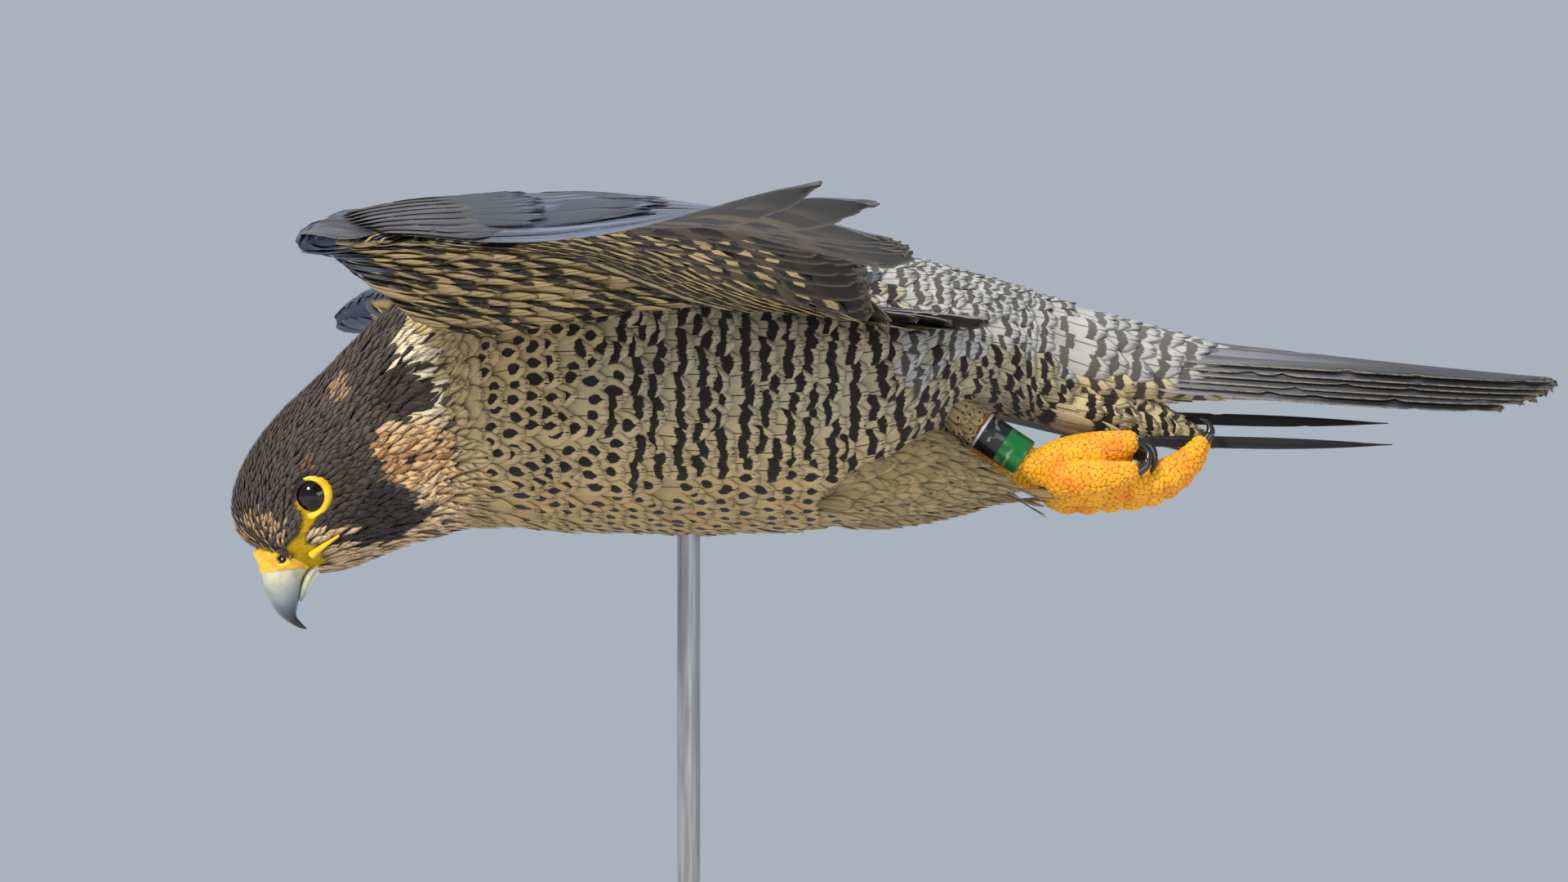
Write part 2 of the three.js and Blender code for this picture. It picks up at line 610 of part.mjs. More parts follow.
// The closed band on the left shank
function bandSolid() {
  const { inner, outer, length } = RING;
  const profile = [[inner, -0.5], [outer, -0.5], [outer, 0.5], [inner, 0.5], [inner, -0.5]]
    .map(([r, h]) => new THREE.Vector2(r, h * length));
  const geometry = new THREE.LatheGeometry(profile, 20);
  geometry.applyQuaternion(new THREE.Quaternion().setFromUnitVectors(vec(0, 1, 0), SHANK_WAY));
  geometry.translate(RING.x, -LEG_OUT, RING.z);
  const made = solidOf(geometry);
  return made.volume() > 0 ? made : solidOf(turnedOut(geometry));
}

function turnedOut(geometry) {
  const index = geometry.index.array;
  for (let i = 0; i < index.length; i += 3) [index[i + 1], index[i + 2]] = [index[i + 2], index[i + 1]];
  return geometry;
}

// Everything of the bird, then the stand
const nodes = [
  ["head", head(), finish("slate")],
  ["neck", neckBlank, finish("buff")],
  ["torso", torsoBlank, finish("buff")],
  ["bill_upper", upperBill(), finish("bill", 0.35)],
  ["bill_lower", lowerBill(), finish("bill", 0.35)],
  ["eye_left", eyeBall(-1), finish("eye", 0.08)],
  ["eye_right", eyeBall(1), finish("eye", 0.08)],
  ["wing_left", wingSolid(wings.left), finish("flight")],
  ["wing_right", wingSolid(wings.right), finish("flight")],
  ["tail", tailSolid(), finish("grey")],
  ["leg_band", bandSolid(), finish("ring", 0.4)],
];
for (const [name, side] of [["left", -1], ["right", 1]]) {
  nodes.push(["leg_" + name, largestOf(thigh(side).subtract(trunkGrown)), finish("buff")]);
  nodes.push(["foot_" + name, footSolid(side), finish("foot", 0.6)]);
  for (const toe of TOES) nodes.push(["claw_" + name + "_" + toe.name, clawSolid(toe, side), finish("claw", 0.3)]);
}

const bird = new THREE.Group();
for (const [name, solid, material] of nodes) {
  const mesh = new THREE.Mesh(geometryOf(solid), material);
  mesh.name = name;
  bird.add(mesh);
}
bird.rotation.x = rad(BANK_DEG);
bird.position.z = FLIGHT_HEIGHT;

// Stand: a round base with one rod up to the breast, cut to the torso's own shape
function standMeshes() {
  const base = new THREE.Mesh(new THREE.CylinderGeometry(BASE_RADIUS, BASE_RADIUS, BASE_THICK, 48), finish("stand", 0.4));
  base.name = "stand_base";
  base.rotation.x = Math.PI / 2;
  base.position.set(ROD_X, 0, BASE_THICK / 2);
  const from = BASE_THICK + GAP;
  const to = FLIGHT_HEIGHT - 20;
  const shaft = new THREE.CylinderGeometry(ROD_RADIUS, ROD_RADIUS, to - from, 20);
  shaft.rotateX(Math.PI / 2);
  shaft.translate(ROD_X, 0, (from + to) / 2);
  const banked = trunkGrown.rotate([BANK_DEG, 0, 0]).translate([0, 0, FLIGHT_HEIGHT]);
  const rod = new THREE.Mesh(geometryOf(largestOf(solidOf(shaft).subtract(banked))), finish("stand", 0.3, 0.8));
  rod.name = "stand_rod";
  return [base, rod];
}

const model = new THREE.Group();
model.position.x = -ROD_X; // the origin is the middle of the base's underside
model.add(bird, ...standMeshes());
export default model;
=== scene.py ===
# %% [markdown]
# This lesson dresses a life-size museum model of a peregrine falcon in flight. The solids that carry it are
# already made and packed, and they load here as a fixed frame. Everything below is built around them: one
# skin, then the bird's coat feather by feather, then bill, eyes, feet and stand. Work goes in the order in
# which a taxidermist would go: body first, coat last.

# %% Load the frame
import math

import bpy
import numpy as np
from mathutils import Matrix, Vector


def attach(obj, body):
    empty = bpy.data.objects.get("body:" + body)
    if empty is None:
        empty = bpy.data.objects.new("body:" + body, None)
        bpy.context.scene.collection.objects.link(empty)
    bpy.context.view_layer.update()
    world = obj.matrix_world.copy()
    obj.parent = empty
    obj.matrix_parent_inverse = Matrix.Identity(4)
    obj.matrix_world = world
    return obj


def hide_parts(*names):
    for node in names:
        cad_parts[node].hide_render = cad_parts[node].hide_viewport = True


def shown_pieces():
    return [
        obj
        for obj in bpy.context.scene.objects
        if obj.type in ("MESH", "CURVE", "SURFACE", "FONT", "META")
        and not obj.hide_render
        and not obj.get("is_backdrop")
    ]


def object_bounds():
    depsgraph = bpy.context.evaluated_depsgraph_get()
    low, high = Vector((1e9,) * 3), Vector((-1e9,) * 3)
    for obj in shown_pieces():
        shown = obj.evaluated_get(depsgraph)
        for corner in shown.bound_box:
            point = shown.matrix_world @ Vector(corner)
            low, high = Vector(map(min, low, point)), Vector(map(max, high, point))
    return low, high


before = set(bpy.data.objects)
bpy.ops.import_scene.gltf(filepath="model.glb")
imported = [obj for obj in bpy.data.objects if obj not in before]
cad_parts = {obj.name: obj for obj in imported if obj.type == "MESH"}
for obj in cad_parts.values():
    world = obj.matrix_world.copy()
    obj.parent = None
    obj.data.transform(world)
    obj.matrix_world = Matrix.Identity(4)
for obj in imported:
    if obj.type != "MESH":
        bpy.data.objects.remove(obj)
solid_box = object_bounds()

print("solids loaded:", len(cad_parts), "nodes, box",
      [round(v, 4) for corner in solid_box for v in corner])

# %% [markdown]
# The bird is easier to think about in its own frame than in the room's. In the bird's frame the head is
# towards minus x, the left side is towards minus y and lengths are millimetres. The finished shapes are
# then banked five degrees, lifted over the stand and turned into metres, all in one small function.

# %% The bird's own frame
MM = 0.001
BANK = math.radians(-5)
FLIGHT_HEIGHT = 232.0  # floor to the bird's origin
FORWARD_SHIFT = 16.0  # the rod stands this far ahead of the bird's origin


def room(points):
    """Points in the bird's frame, in millimetres, as points in the room, in metres."""
    p = np.asarray(points, float)
    y = p[..., 1] * math.cos(BANK) - p[..., 2] * math.sin(BANK)
    z = p[..., 1] * math.sin(BANK) + p[..., 2] * math.cos(BANK) + FLIGHT_HEIGHT
    return np.stack([p[..., 0] + FORWARD_SHIFT, y, z], -1) * MM


def mix(a, b, t):
    return a + (b - a) * t


def ease(low, high, value):
    """0 below low, 1 above high, and a smooth step between them. high may be the smaller one."""
    t = np.clip((np.asarray(value, float) - low) / (high - low), 0, 1)
    return t * t * (3 - 2 * t)


def unit(v):
    return v / np.maximum(np.linalg.norm(v, axis=-1, keepdims=True), 1e-9)


print("the bird's origin is at", np.round(room([0, 0, 0]), 4))

# %% [markdown]
# The camera stands three metres off the bird's left side, level with it, as a long lens would see a falcon
# pass. The lens length follows from the width that the photograph shows at the middle of the body.

# %% Camera
SHOT_DISTANCE = 3.0
SHOT_WIDTH = 0.5409  # metres across the frame, at the bird's middle plane
SENSOR = 36.0
SHOT_CENTRE = room([16.9, 0, -11.3])

camera_data = bpy.data.cameras.new("camera")
camera_data.sensor_width = SENSOR
camera_data.lens = SENSOR * SHOT_DISTANCE / SHOT_WIDTH
camera = bpy.data.objects.new("camera", camera_data)
camera.location = Vector(SHOT_CENTRE) + Vector((0, -SHOT_DISTANCE, 0))
camera.rotation_euler = (math.radians(90), 0, 0)
bpy.context.scene.collection.objects.link(camera)
bpy.context.scene.camera = camera
print("camera at", [round(v, 4) for v in camera.location], "lens", round(camera_data.lens, 1))

# %% [markdown]
# A studio for a dark bird needs a large soft key from the upper front, a weaker fill so that the shaded
# belly keeps its markings, and a pale surround. The floor is a plain pale disc under the stand. It ends
# before it would draw a horizon behind the feathers.

# %% Floor and lights
KEY_PLACE = (-1.15, -1.9, 1.75)
FILL_PLACE = (1.3, -2.0, 0.55)
TOP_PLACE = (0.35, 0.5, 2.1)
WORLD_GREY = (0.62, 0.70, 0.80)
WORLD_STRENGTH = 0.64


def soft_light(name, place, size, power, colour):
    data = bpy.data.lights.new(name, "AREA")
    data.shape = "DISK"
    data.size = size
    data.energy = power
    data.color = colour
    lamp = bpy.data.objects.new(name, data)
    lamp.location = place
    lamp.rotation_euler = (Vector((0.03, 0, 0.23)) - Vector(place)).to_track_quat("-Z", "Y").to_euler()
    bpy.context.scene.collection.objects.link(lamp)


soft_light("key_light", KEY_PLACE, 0.55, 62, (1.0, 0.93, 0.82))
soft_light("fill_light", FILL_PLACE, 1.2, 13, (0.86, 0.92, 1.0))
soft_light("top_light", TOP_PLACE, 1.0, 22, (0.95, 0.97, 1.0))

world = bpy.data.worlds.new("studio_air")
bpy.context.scene.world = world
world.use_nodes = True
world.node_tree.nodes["Background"].inputs["Color"].default_value = (*WORLD_GREY, 1)
world.node_tree.nodes["Background"].inputs["Strength"].default_value = WORLD_STRENGTH
bpy.context.scene.view_settings.view_transform = "Standard"

FLOOR_RADIUS = 1.3
FLOOR_SIDES = 128
floor_mesh = bpy.data.meshes.new("studio_floor")
floor_ring = [2 * math.pi * i / FLOOR_SIDES for i in range(FLOOR_SIDES)]
floor_points = [(FLOOR_RADIUS * math.cos(a), FLOOR_RADIUS * math.sin(a), 0.0) for a in floor_ring]
floor_mesh.from_pydata(floor_points, [], [list(range(FLOOR_SIDES))])
floor = bpy.data.objects.new("studio_floor", floor_mesh)
bpy.context.scene.collection.objects.link(floor)
floor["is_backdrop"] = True
print("floor", 2 * FLOOR_RADIUS, "m across")

# %% [markdown]
# Every piece here is made of plain arrays: points, faces, and values stored on the points for the materials
# to read. One helper turns such arrays into a Blender mesh. Feathers come in thousands, so the helper
# writes the whole arrays at once, which is far quicker than adding faces one by one.

# %% Mesh helper
UNWRAP = "OFBake"


def finish_piece(piece, material, replaced=()):
    piece.data.materials.clear()
    piece.data.materials.append(material)
    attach(piece, "root")
    if replaced:
        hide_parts(*replaced)
    print(piece.name, len(piece.data.polygons), "faces")
    return piece


def mesh_piece(name, points, quads=(), tris=(), values=None, unwrap=None):
    """A mesh object from points in metres. values holds an array for each named value of the points."""
    quads = np.asarray(quads, np.int32).reshape(-1, 4)
    tris = np.asarray(tris, np.int32).reshape(-1, 3)
    corners = np.concatenate([quads.ravel(), tris.ravel()]).astype(np.int32)
    sizes = np.concatenate([np.full(len(quads), 4), np.full(len(tris), 3)]).astype(np.int32)
    mesh = bpy.data.meshes.new(name)
    mesh.vertices.add(len(points))
    mesh.vertices.foreach_set("co", np.asarray(points, np.float32).ravel())
    mesh.loops.add(len(corners))
    mesh.loops.foreach_set("vertex_index", corners)
    mesh.polygons.add(len(sizes))
    starts = np.concatenate([[0], np.cumsum(sizes)[:-1]]).astype(np.int32)
    mesh.polygons.foreach_set("loop_start", starts)
    mesh.polygons.foreach_set("use_smooth", np.full(len(sizes), True))
    mesh.update(calc_edges=True)
    for key, value in (values or {}).items():
        value = np.asarray(value, np.float32)
        if value.shape[-1] == 4:
            mesh.attributes.new(key, "FLOAT_COLOR", "POINT").data.foreach_set("color", value.ravel())
        else:
            mesh.attributes.new(key, "FLOAT_VECTOR", "POINT").data.foreach_set("vector", value.ravel())
    if unwrap is not None:
        layer = mesh.uv_layers.new(name=UNWRAP)
        layer.data.foreach_set("uv", np.asarray(unwrap, np.float32)[corners].ravel())
    mesh.validate()
    piece = bpy.data.objects.new(name, mesh)
    bpy.context.scene.collection.objects.link(piece)
    return piece


def tube_quads(rings, sides, count=1):
    """The side faces of count tubes, each of so many rings with so many points."""
    r, s = np.meshgrid(np.arange(rings - 1), np.arange(sides), indexing="ij")
    a = (r * sides + s).ravel()
    b = (r * sides + (s + 1) % sides).ravel()
    one = np.stack([a, b, b + sides, a + sides], -1)
    offsets = np.arange(count)[:, None, None] * rings * sides
    return (one[None] + offsets).reshape(-1, 4)


def cap_tris(rings, sides, count=1):
    """Fans that close both ends of such tubes."""
    i = np.arange(1, sides - 1)
    start = np.stack([np.zeros_like(i), i + 1, i], -1)
    last = (rings - 1) * sides
    end = np.stack([np.full_like(i, last), last + i, last + i + 1], -1)
    one = np.concatenate([start, end])
    offsets = np.arange(count)[:, None, None] * rings * sides
    return (one[None] + offsets).reshape(-1, 3)


def joined(grids, ways=None):
    """Points, side faces and caps of several tubes. A way of -1 turns the faces of a mirrored tube."""
    points, quads, tris, offset = [], [], [], 0
    for grid, way in zip(grids, ways or [1] * len(grids)):
        rings, sides = grid.shape[:2]
        points.append(room(grid.reshape(-1, 3)))
        quads.append(tube_quads(rings, sides)[:, ::way] + offset)
        tris.append(cap_tris(rings, sides)[:, ::way] + offset)
        offset += rings * sides
    return np.concatenate(points), np.concatenate(quads), np.concatenate(tris)


def fused(name, grids, voxel, rounds):
    """One seamless mesh from closed forms, by a voxel remesh and some rounds of smoothing."""
    rough = mesh_piece("rough_" + name, *joined(grids))
    fuse = rough.modifiers.new("fuse", "REMESH")
    fuse.mode = "VOXEL"
    fuse.voxel_size = voxel * MM
    fuse.use_smooth_shade = True
    settle = rough.modifiers.new("settle", "SMOOTH")
    settle.factor = 0.5
    settle.iterations = rounds
    mesh = bpy.data.meshes.new_from_object(rough.evaluated_get(bpy.context.evaluated_depsgraph_get()))
    bpy.data.objects.remove(rough)
    return mesh


def point_values(mesh, kind):
    """The places ("co") or normals ("normal") of a mesh's points."""
    values = np.zeros(len(mesh.vertices) * 3, np.float32)
    mesh.vertices.foreach_get(kind, values)
    return values.reshape(-1, 3)


def mirror_sides(side, points):
    return points * np.array([1, side, 1])


print("helpers ready, unwrap map", UNWRAP)

# %% [markdown]
# The trunk, from the bill's root to the tail's root, is one flowing form. It is drawn as stations down the
# middle plane, each with a top point, a bottom point, a half width and the level of its widest line, and a
# smooth curve runs through them. The same stations made the solid, so skin and solid agree everywhere.

# %% Trunk stations
TRUNK = np.array([
    (-165, -49.5, -144, -57.5, 8.5, 0.5),  # face at the bill's root
    (-171.5, -42.5, -143, -57.5, 13.5, 0.5),
    (-173.5, -33.5, -140.5, -57, 18, 0.5),
    (-171.5, -24, -137.5, -56, 22, 0.5),
    (-166, -13, -132, -54.5, 24.8, 0.47),  # eyes
    (-156, -0.5, -126, -52, 25.6, 0.46),
    (-142, 12.5, -119, -49, 25.6, 0.47),  # back of the head
    (-128.5, 26, -111, -46, 26.5, 0.48),
    (-114.5, 38, -102, -43.5, 29.5, 0.5),  # neck
    (-96, 46.5, -94, -41, 36.5, 0.5),
    (-78, 51.5, -81, -40.5, 43.5, 0.5),  # shoulders
    (-56, 55, -58, -42, 50, 0.52),
    (-28, 57, -29, -43, 53.5, 0.53),
    (0, 57, 0, -43, 53.5, 0.53),  # deepest part of the breast
    (28, 56, 29, -41, 50.5, 0.52),
    (54, 53.5, 55, -34, 45, 0.5),
    (80, 47, 80, -4, 35.5, 0.5),
    (104, 40, 104, -4, 25, 0.5),  # root of the tail
], float)


def smooth_rows(table, count):
    """A table of stations sampled at count even places by a Catmull-Rom curve."""
    at = np.linspace(0, len(table) - 1, count)
    i = np.minimum(at.astype(int), len(table) - 2)
    t = (at - i)[:, None]
    p0, p1, p2, p3 = (table[np.clip(i + k, 0, len(table) - 1)] for k in (-1, 0, 1, 2))
    return 0.5 * (2 * p1 + (p2 - p0) * t + (2 * p0 - 5 * p1 + 4 * p2 - p3) * t**2
                  + (3 * p1 - p0 - 3 * p2 + p3) * t**3)


def loft(table, rings, sides, grow=0.0, out=0.0):
    """Rings of points round the middle plane. Side 0 is towards plus y, a quarter on is the top."""
    rows = smooth_rows(np.asarray(table, float), rings)
    top = np.stack([rows[:, 0], np.full(rings, out), rows[:, 1]], -1)
    low = np.stack([rows[:, 2], np.full(rings, out), rows[:, 3]], -1)
    up = unit(top - low)
    waist = mix(top, low, rows[:, 5:6])
    rise = np.linalg.norm(top - waist, axis=1) + grow
    fall = np.linalg.norm(low - waist, axis=1) + grow
    a = np.arange(sides) / sides * 2 * math.pi
    high = np.sin(a)[None] * np.where(np.sin(a)[None] > 0, rise[:, None], fall[:, None])
    points = waist[:, None] + up[:, None] * high[..., None]
    points[..., 1] += np.cos(a)[None] * (rows[:, 4:5] + grow)
    return points


print("trunk stations:", len(TRUNK))

# %% [markdown]
# Feathers have to lie on the body, not on flat plates. A Surface keeps a fine grid of points of some body
# form. It gives the point and the outward direction at any place, with small steps measured in millimetres,
# so that every point of every feather can be laid on the form itself and bends with it.

# %% Surface that feathers lie on
class Surface:
    def __init__(self, grid, round_closed=True):
        self.grid = grid
        self.rows, self.cols = grid.shape[:2]
        self.closed = round_closed
        ahead = np.gradient(grid, axis=0)
        if round_closed:
            aside = (np.roll(grid, -1, 1) - np.roll(grid, 1, 1)) / 2
        else:
            aside = np.gradient(grid, axis=1)
        self.out = unit(np.cross(aside, ahead))
        centre = grid.mean(1, keepdims=True)
        if round_closed and ((grid - centre) * self.out).sum(-1).mean() < 0:
            self.out = -self.out
        self.step_p = np.linalg.norm(ahead, axis=-1)
        self.step_q = np.linalg.norm(aside, axis=-1)

    def sample(self, field, p, q):
        """The field at places p along and q round, both from 0 to 1."""
        u = np.clip(p, 0, 1) * (self.rows - 1)
        i = np.minimum(u.astype(int), self.rows - 2)
        if self.closed:
            v = (q % 1.0) * self.cols
            j = v.astype(int) % self.cols
            j2 = (j + 1) % self.cols
            fv = v - np.floor(v)
        else:
            v = np.clip(q, 0, 1) * (self.cols - 1)
            j = np.minimum(v.astype(int), self.cols - 2)
            j2 = j + 1
            fv = v - j
        fu = u - i
        if field.ndim == 3:
            fu, fv = fu[..., None], fv[..., None]
        low = field[i, j] * (1 - fv) + field[i, j2] * fv
        high = field[i + 1, j] * (1 - fv) + field[i + 1, j2] * fv
        return low * (1 - fu) + high * fu

    def at(self, p, q):
        return self.sample(self.grid, p, q)

    def outward(self, p, q):
        return unit(self.sample(self.out, p, q))

    def scale(self, p, q):
        """Millimetres for a whole unit of p and of q, at a place."""
        across = self.cols if self.closed else self.cols - 1
        return (np.maximum(self.sample(self.step_p, p, q), 0.02) * (self.rows - 1),
                np.maximum(self.sample(self.step_q, p, q), 0.02) * across)


TRUNK_RINGS = 280
TRUNK_SIDES = 200
trunk_points = loft(TRUNK, TRUNK_RINGS, TRUNK_SIDES)
print("trunk grid", trunk_points.shape)

# %% [markdown]
# The head's character comes from its relief: a bony ridge that frowns over the eye, a shallow dish between
# the eye and the bill, full cheeks and a crease where the mouth runs back. The smooth trunk form is pushed
# in and out there before any feather is laid, by small soft mounds and hollows placed on both sides.

# %% Relief of the head and body
EYE = np.array([-144.0, 17.2, -31.0])  # right eye; the left one mirrors it
EYE_RADIUS = 8.4
EYE_TURN = math.radians(24)
EYE_AXIS = unit(np.array([-math.sin(EYE_TURN) * 0.6, math.cos(EYE_TURN), -math.sin(EYE_TURN) * 0.5]))
BODY_RELIEF = [
    # place of the mound (x, out, z), radii along x, out and z, and height; a hollow is negative
    ((-151.5, 21.5, -24.0), (10.0, 9.0, 4.2), 1.9),  # brow
    ((-141.0, 23.0, -19.0), (9.0, 9.0, 5.0), 0.8),  # end of the brow
    ((-156.0, 15.0, -40.0), (6.5, 9.0, 7.0), -2.2),  # dish before the eye
    ((-144.0, 22.0, -32.0), (9.5, 9.0, 9.5), -1.6),  # socket
    ((-125.0, 24.0, -30.0), (12.0, 12.0, 13.0), 1.3),  # ear coverts
    ((-112.0, 24.0, -14.0), (12.0, 12.0, 14.0), 1.2),  # nape's side
    ((-100.0, 28.0, -2.0), (7.0, 16.0, 34.0), -2.6),  # crease where neck meets breast
]
RIPPLE_HEIGHT = 0.35


def relief(points):
    x, y, z = points[..., 0], points[..., 1], points[..., 2]
    total = np.zeros(points.shape[:-1])
    for (cx, cy, cz), (rx, ry, rz), height in BODY_RELIEF:
        distance = ((x - cx) / rx) ** 2 + ((np.abs(y) - cy) / ry) ** 2 + ((z - cz) / rz) ** 2
        total += height * np.exp(-distance)
    total += RIPPLE_HEIGHT * np.sin(x * 0.16 + z * 0.05) * np.sin(z * 0.13 + y * 0.07) * ease(-110, -60, x)
    return total


plain_trunk = Surface(trunk_points)
heights = relief(trunk_points)
trunk_form = Surface(trunk_points + plain_trunk.out * heights[..., None])
print("relief from", round(float(heights.min()), 2), "to", round(float(heights.max()), 2), "mm")

# %% [markdown]
# Each thigh is a feathered drumstick folded back along the belly. It gets its own surface, built by the
# same loft, and is set out to each side.

# %% Thigh surfaces
LEG_OUT = 21.0
THIGH = np.array([
    (24, -18, 26, -38, 8, 0.5),
    (38, -10, 38, -39.5, 14, 0.5),
    (54, -8, 54, -39.5, 15.5, 0.5),
    (68, -9, 68, -37.5, 14, 0.5),
    (80, -16, 80, -34.5, 10.5, 0.5),
    (89, -22.5, 89, -31.8, 6.5, 0.5),
    (97, -28.5, 97, -30.5, 1.5, 0.5),
], float)
thigh_forms = {side: Surface(loft(THIGH, 70, 72, 0, side * LEG_OUT)) for side in (-1, 1)}
print("thighs:", len(thigh_forms))

# %% [markdown]
# The tail has a frame of its own, because it droops a little and is rolled so that its upper face turns
# towards the camera. u runs along it from the rump, w across it, and lift out of its upper face.

# %% The tail's frame
TAIL_ROOT = (92.0, 0.0, 21.5)
TAIL_DROP = math.radians(5.4)
TAIL_ROLL = math.radians(27)


def tail_point(u, w, lift):
    u, w, lift = (np.asarray(v, float) for v in (u, w, lift))
    roll = TAIL_ROLL * np.clip((u - 12) / 45, 0, 1) * mix(1, 0.3, np.clip((u - 60) / 130, 0, 1))
    y = w * np.cos(roll) - lift * np.sin(roll)
    z = w * np.sin(roll) + lift * np.cos(roll)
    return np.stack([TAIL_ROOT[0] + u * math.cos(TAIL_DROP) + z * math.sin(TAIL_DROP), TAIL_ROOT[1] + y,
                     TAIL_ROOT[2] - u * math.sin(TAIL_DROP) + z * math.cos(TAIL_DROP)], -1)


CORE_RINGS = 60
CORE_SIDES = 72
core_t = np.linspace(0, 1, CORE_RINGS)[:, None]
core_a = (np.arange(CORE_SIDES) / CORE_SIDES * 2 * math.pi)[None]
core_half = mix(24.6, 10, core_t**0.9)
core_high = np.where(np.sin(core_a) > 0, mix(22, 5.5, core_t**0.9), mix(22, 6, core_t**0.55))
tail_core_points = tail_point(12 + 84 * core_t + 0 * core_a, np.cos(core_a) * core_half,
                              np.sin(core_a) * core_high - 2.5)
tail_form = Surface(tail_core_points)
UNDERTAIL = np.array([
    (98, 12, 98, -3, 17, 0.5),
    (112, 12, 112, -8, 16.5, 0.5),
    (128, 8, 128, -10.5, 14, 0.5),
    (144, 3, 144, -12.5, 10, 0.5),
    (156, -4, 156, -13.2, 6, 0.5),
    (164, -10, 164, -13.4, 2, 0.5),
], float)
undertail_form = Surface(loft(UNDERTAIL, 60, 72))
print("tail core and undertail surfaces ready")

# %% [markdown]
# A wing is laid out in plan, by x and by the distance out from the middle plane. Its height comes from one
# function that arches from the shoulder up to the wrist and down to the tip, rolls the hand's leading edge
# down and lets the trailing edge sink. Each flight feather is a line from a root on the arm or hand to its
# tip, numbered from the outermost primary to the innermost tertial.

# %% Wing plan
WRIST = np.array([-143.0, 125.0])
ELBOW = np.array([-50.0, 86.0])
ARMPIT = np.array([4.0, 47.0])
HAND_LENGTH = 62.0
PRIMARIES = 10
SECONDARIES = 12
FEATHERS = PRIMARIES + SECONDARIES
WING_CHORD = 350.0
VANE_STACK = 0.92
VANE_TILT = math.tan(math.radians(6))
WINGS = {
    # the arch's height at the crest, and how far below it the armpit, the nose and the tip lie
    "left": {"side": -1, "sweep": 30, "innermost": 77, "arch": 50.5, "armpit_low": 32, "nose_low": 12,
             "roll": 14.5, "fall": 22, "tip_out": 425, "tip_low": 27, "tip_power": 0.95},
    "right": {"side": 1, "sweep": 61, "innermost": 86, "arch": 47, "armpit_low": 18, "nose_low": 9,
              "roll": 0, "fall": 0, "tip_out": 300, "tip_low": 46, "tip_power": 1.7},
}
CREST_OUT = 150
ROLL_LENGTH = 345  # along the leading edge, from the wrist
ROLL_BAND = 60  # in from the leading edge


def bearing(degrees):
    return np.array([math.sin(math.radians(degrees)), math.cos(math.radians(degrees))])


def wing_height(wing, x, out):
    x, out = np.asarray(x, float), np.asarray(out, float)
    inner = wing["armpit_low"] * np.clip((CREST_OUT - out) / 110, 0, 1) ** 1.6
    outer_share = np.clip((out - CREST_OUT) / (wing["tip_out"] - CREST_OUT), 0, 1)
    arch = wing["arch"] - np.where(out < CREST_OUT, inner, wing["tip_low"] * outer_share ** wing["tip_power"])
    camber = -wing["nose_low"] * np.clip((-x - 95) / 55, 0, 1) ** 2 * np.clip((out - 90) / 60, 0, 1)
    rear = -5 * np.clip((x - 20) / 60, 0, 1) * np.clip((120 - out) / 60, 0, 1)
    levelled = VANE_STACK * FEATHERS * (np.clip((out - 60) / 340, 0, 1) - 0.5) * 0.8
    way_x, way_out = bearing(wing["sweep"])
    ahead = (x - WRIST[0]) * way_x + (out - WRIST[1]) * way_out
    behind = (x - WRIST[0]) * way_out - (out - WRIST[1]) * way_x + 8
    swell = np.sin(math.pi * np.clip(ahead / ROLL_LENGTH, 0, 1) ** 1.25)
    rolled = wing["roll"] * swell * (1 - np.clip(behind / ROLL_BAND, 0, 1)) ** 1.7
    sunk = wing["fall"] * np.clip((x + 50) / 100, 0, 1) ** 1.5 * np.clip((out - 42) / 40, 0, 1)
    return arch + camber + rear + levelled - rolled - sunk * np.clip(behind / 40, 0, 1)


def whole_feather(wing, index):
    """Root and tip in plan of one numbered flight feather."""
    if index < PRIMARIES:
        inward = index / (PRIMARIES - 1)
        reach = HAND_LENGTH * (1 - inward)
        root = WRIST + np.array([6, -4]) + bearing(wing["sweep"] - 4) * reach
        later = min(1, max(0, (index - 1) / 8))
        shorter = later**1.05 + 0.09 * math.sin(math.pi * later)
        chord = mix(WING_CHORD, 186, shorter) * (0.97 if index == 0 else 1)
        return root, WRIST + bearing(mix(wing["sweep"], wing["innermost"], inward**1.4)) * chord
    inward = (index - PRIMARIES + 0.6) / SECONDARIES
    p1 = whole_feather(wing, PRIMARIES - 1)[1]
    on_ulna = min(1, inward / 0.72)
    on_humerus = max(0, (inward - 0.72) / 0.28)
    root = mix(mix(WRIST + np.array([8, -5]), ELBOW, on_ulna), ARMPIT, on_humerus)
    tip_x = p1[0] + 12 * inward + (80 - p1[0]) * max(0, (inward - 0.62) / 0.38) ** 1.5
    return root, np.array([tip_x, mix(p1[1], 42, inward)])


def feather_line(wing, index):
    """Root and tip for places between the numbered feathers too, as arrays."""
    index = np.clip(np.asarray(index, float), 0, FEATHERS - 1)
    roots = np.array([whole_feather(wing, i)[0] for i in range(FEATHERS)])
    tips = np.array([whole_feather(wing, i)[1] for i in range(FEATHERS)])
    low = np.minimum(index.astype(int), FEATHERS - 2)
    t = (index - low)[..., None]
    return mix(roots[low], roots[low + 1], t), mix(tips[low], tips[low + 1], t)


def index_at(out):
    """Which feather roots at a distance out, on the arm or hand."""
    return FEATHERS * (1 - np.clip((out - 48) / (WRIST[1] + HAND_LENGTH * 0.7 - 48), 0, 1))


print("longest primary reaches", np.round(whole_feather(WINGS["left"], 1)[1], 1), "in plan")

# %% [markdown]
# Under the coat the arm and hand are a tapering fleshy bar at the front of each wing. Its own surface
# carries the small coverts that round the wing's leading edge.

# %% Wing core surfaces
WING_CORE_RINGS = 90
WING_CORE_SIDES = 48


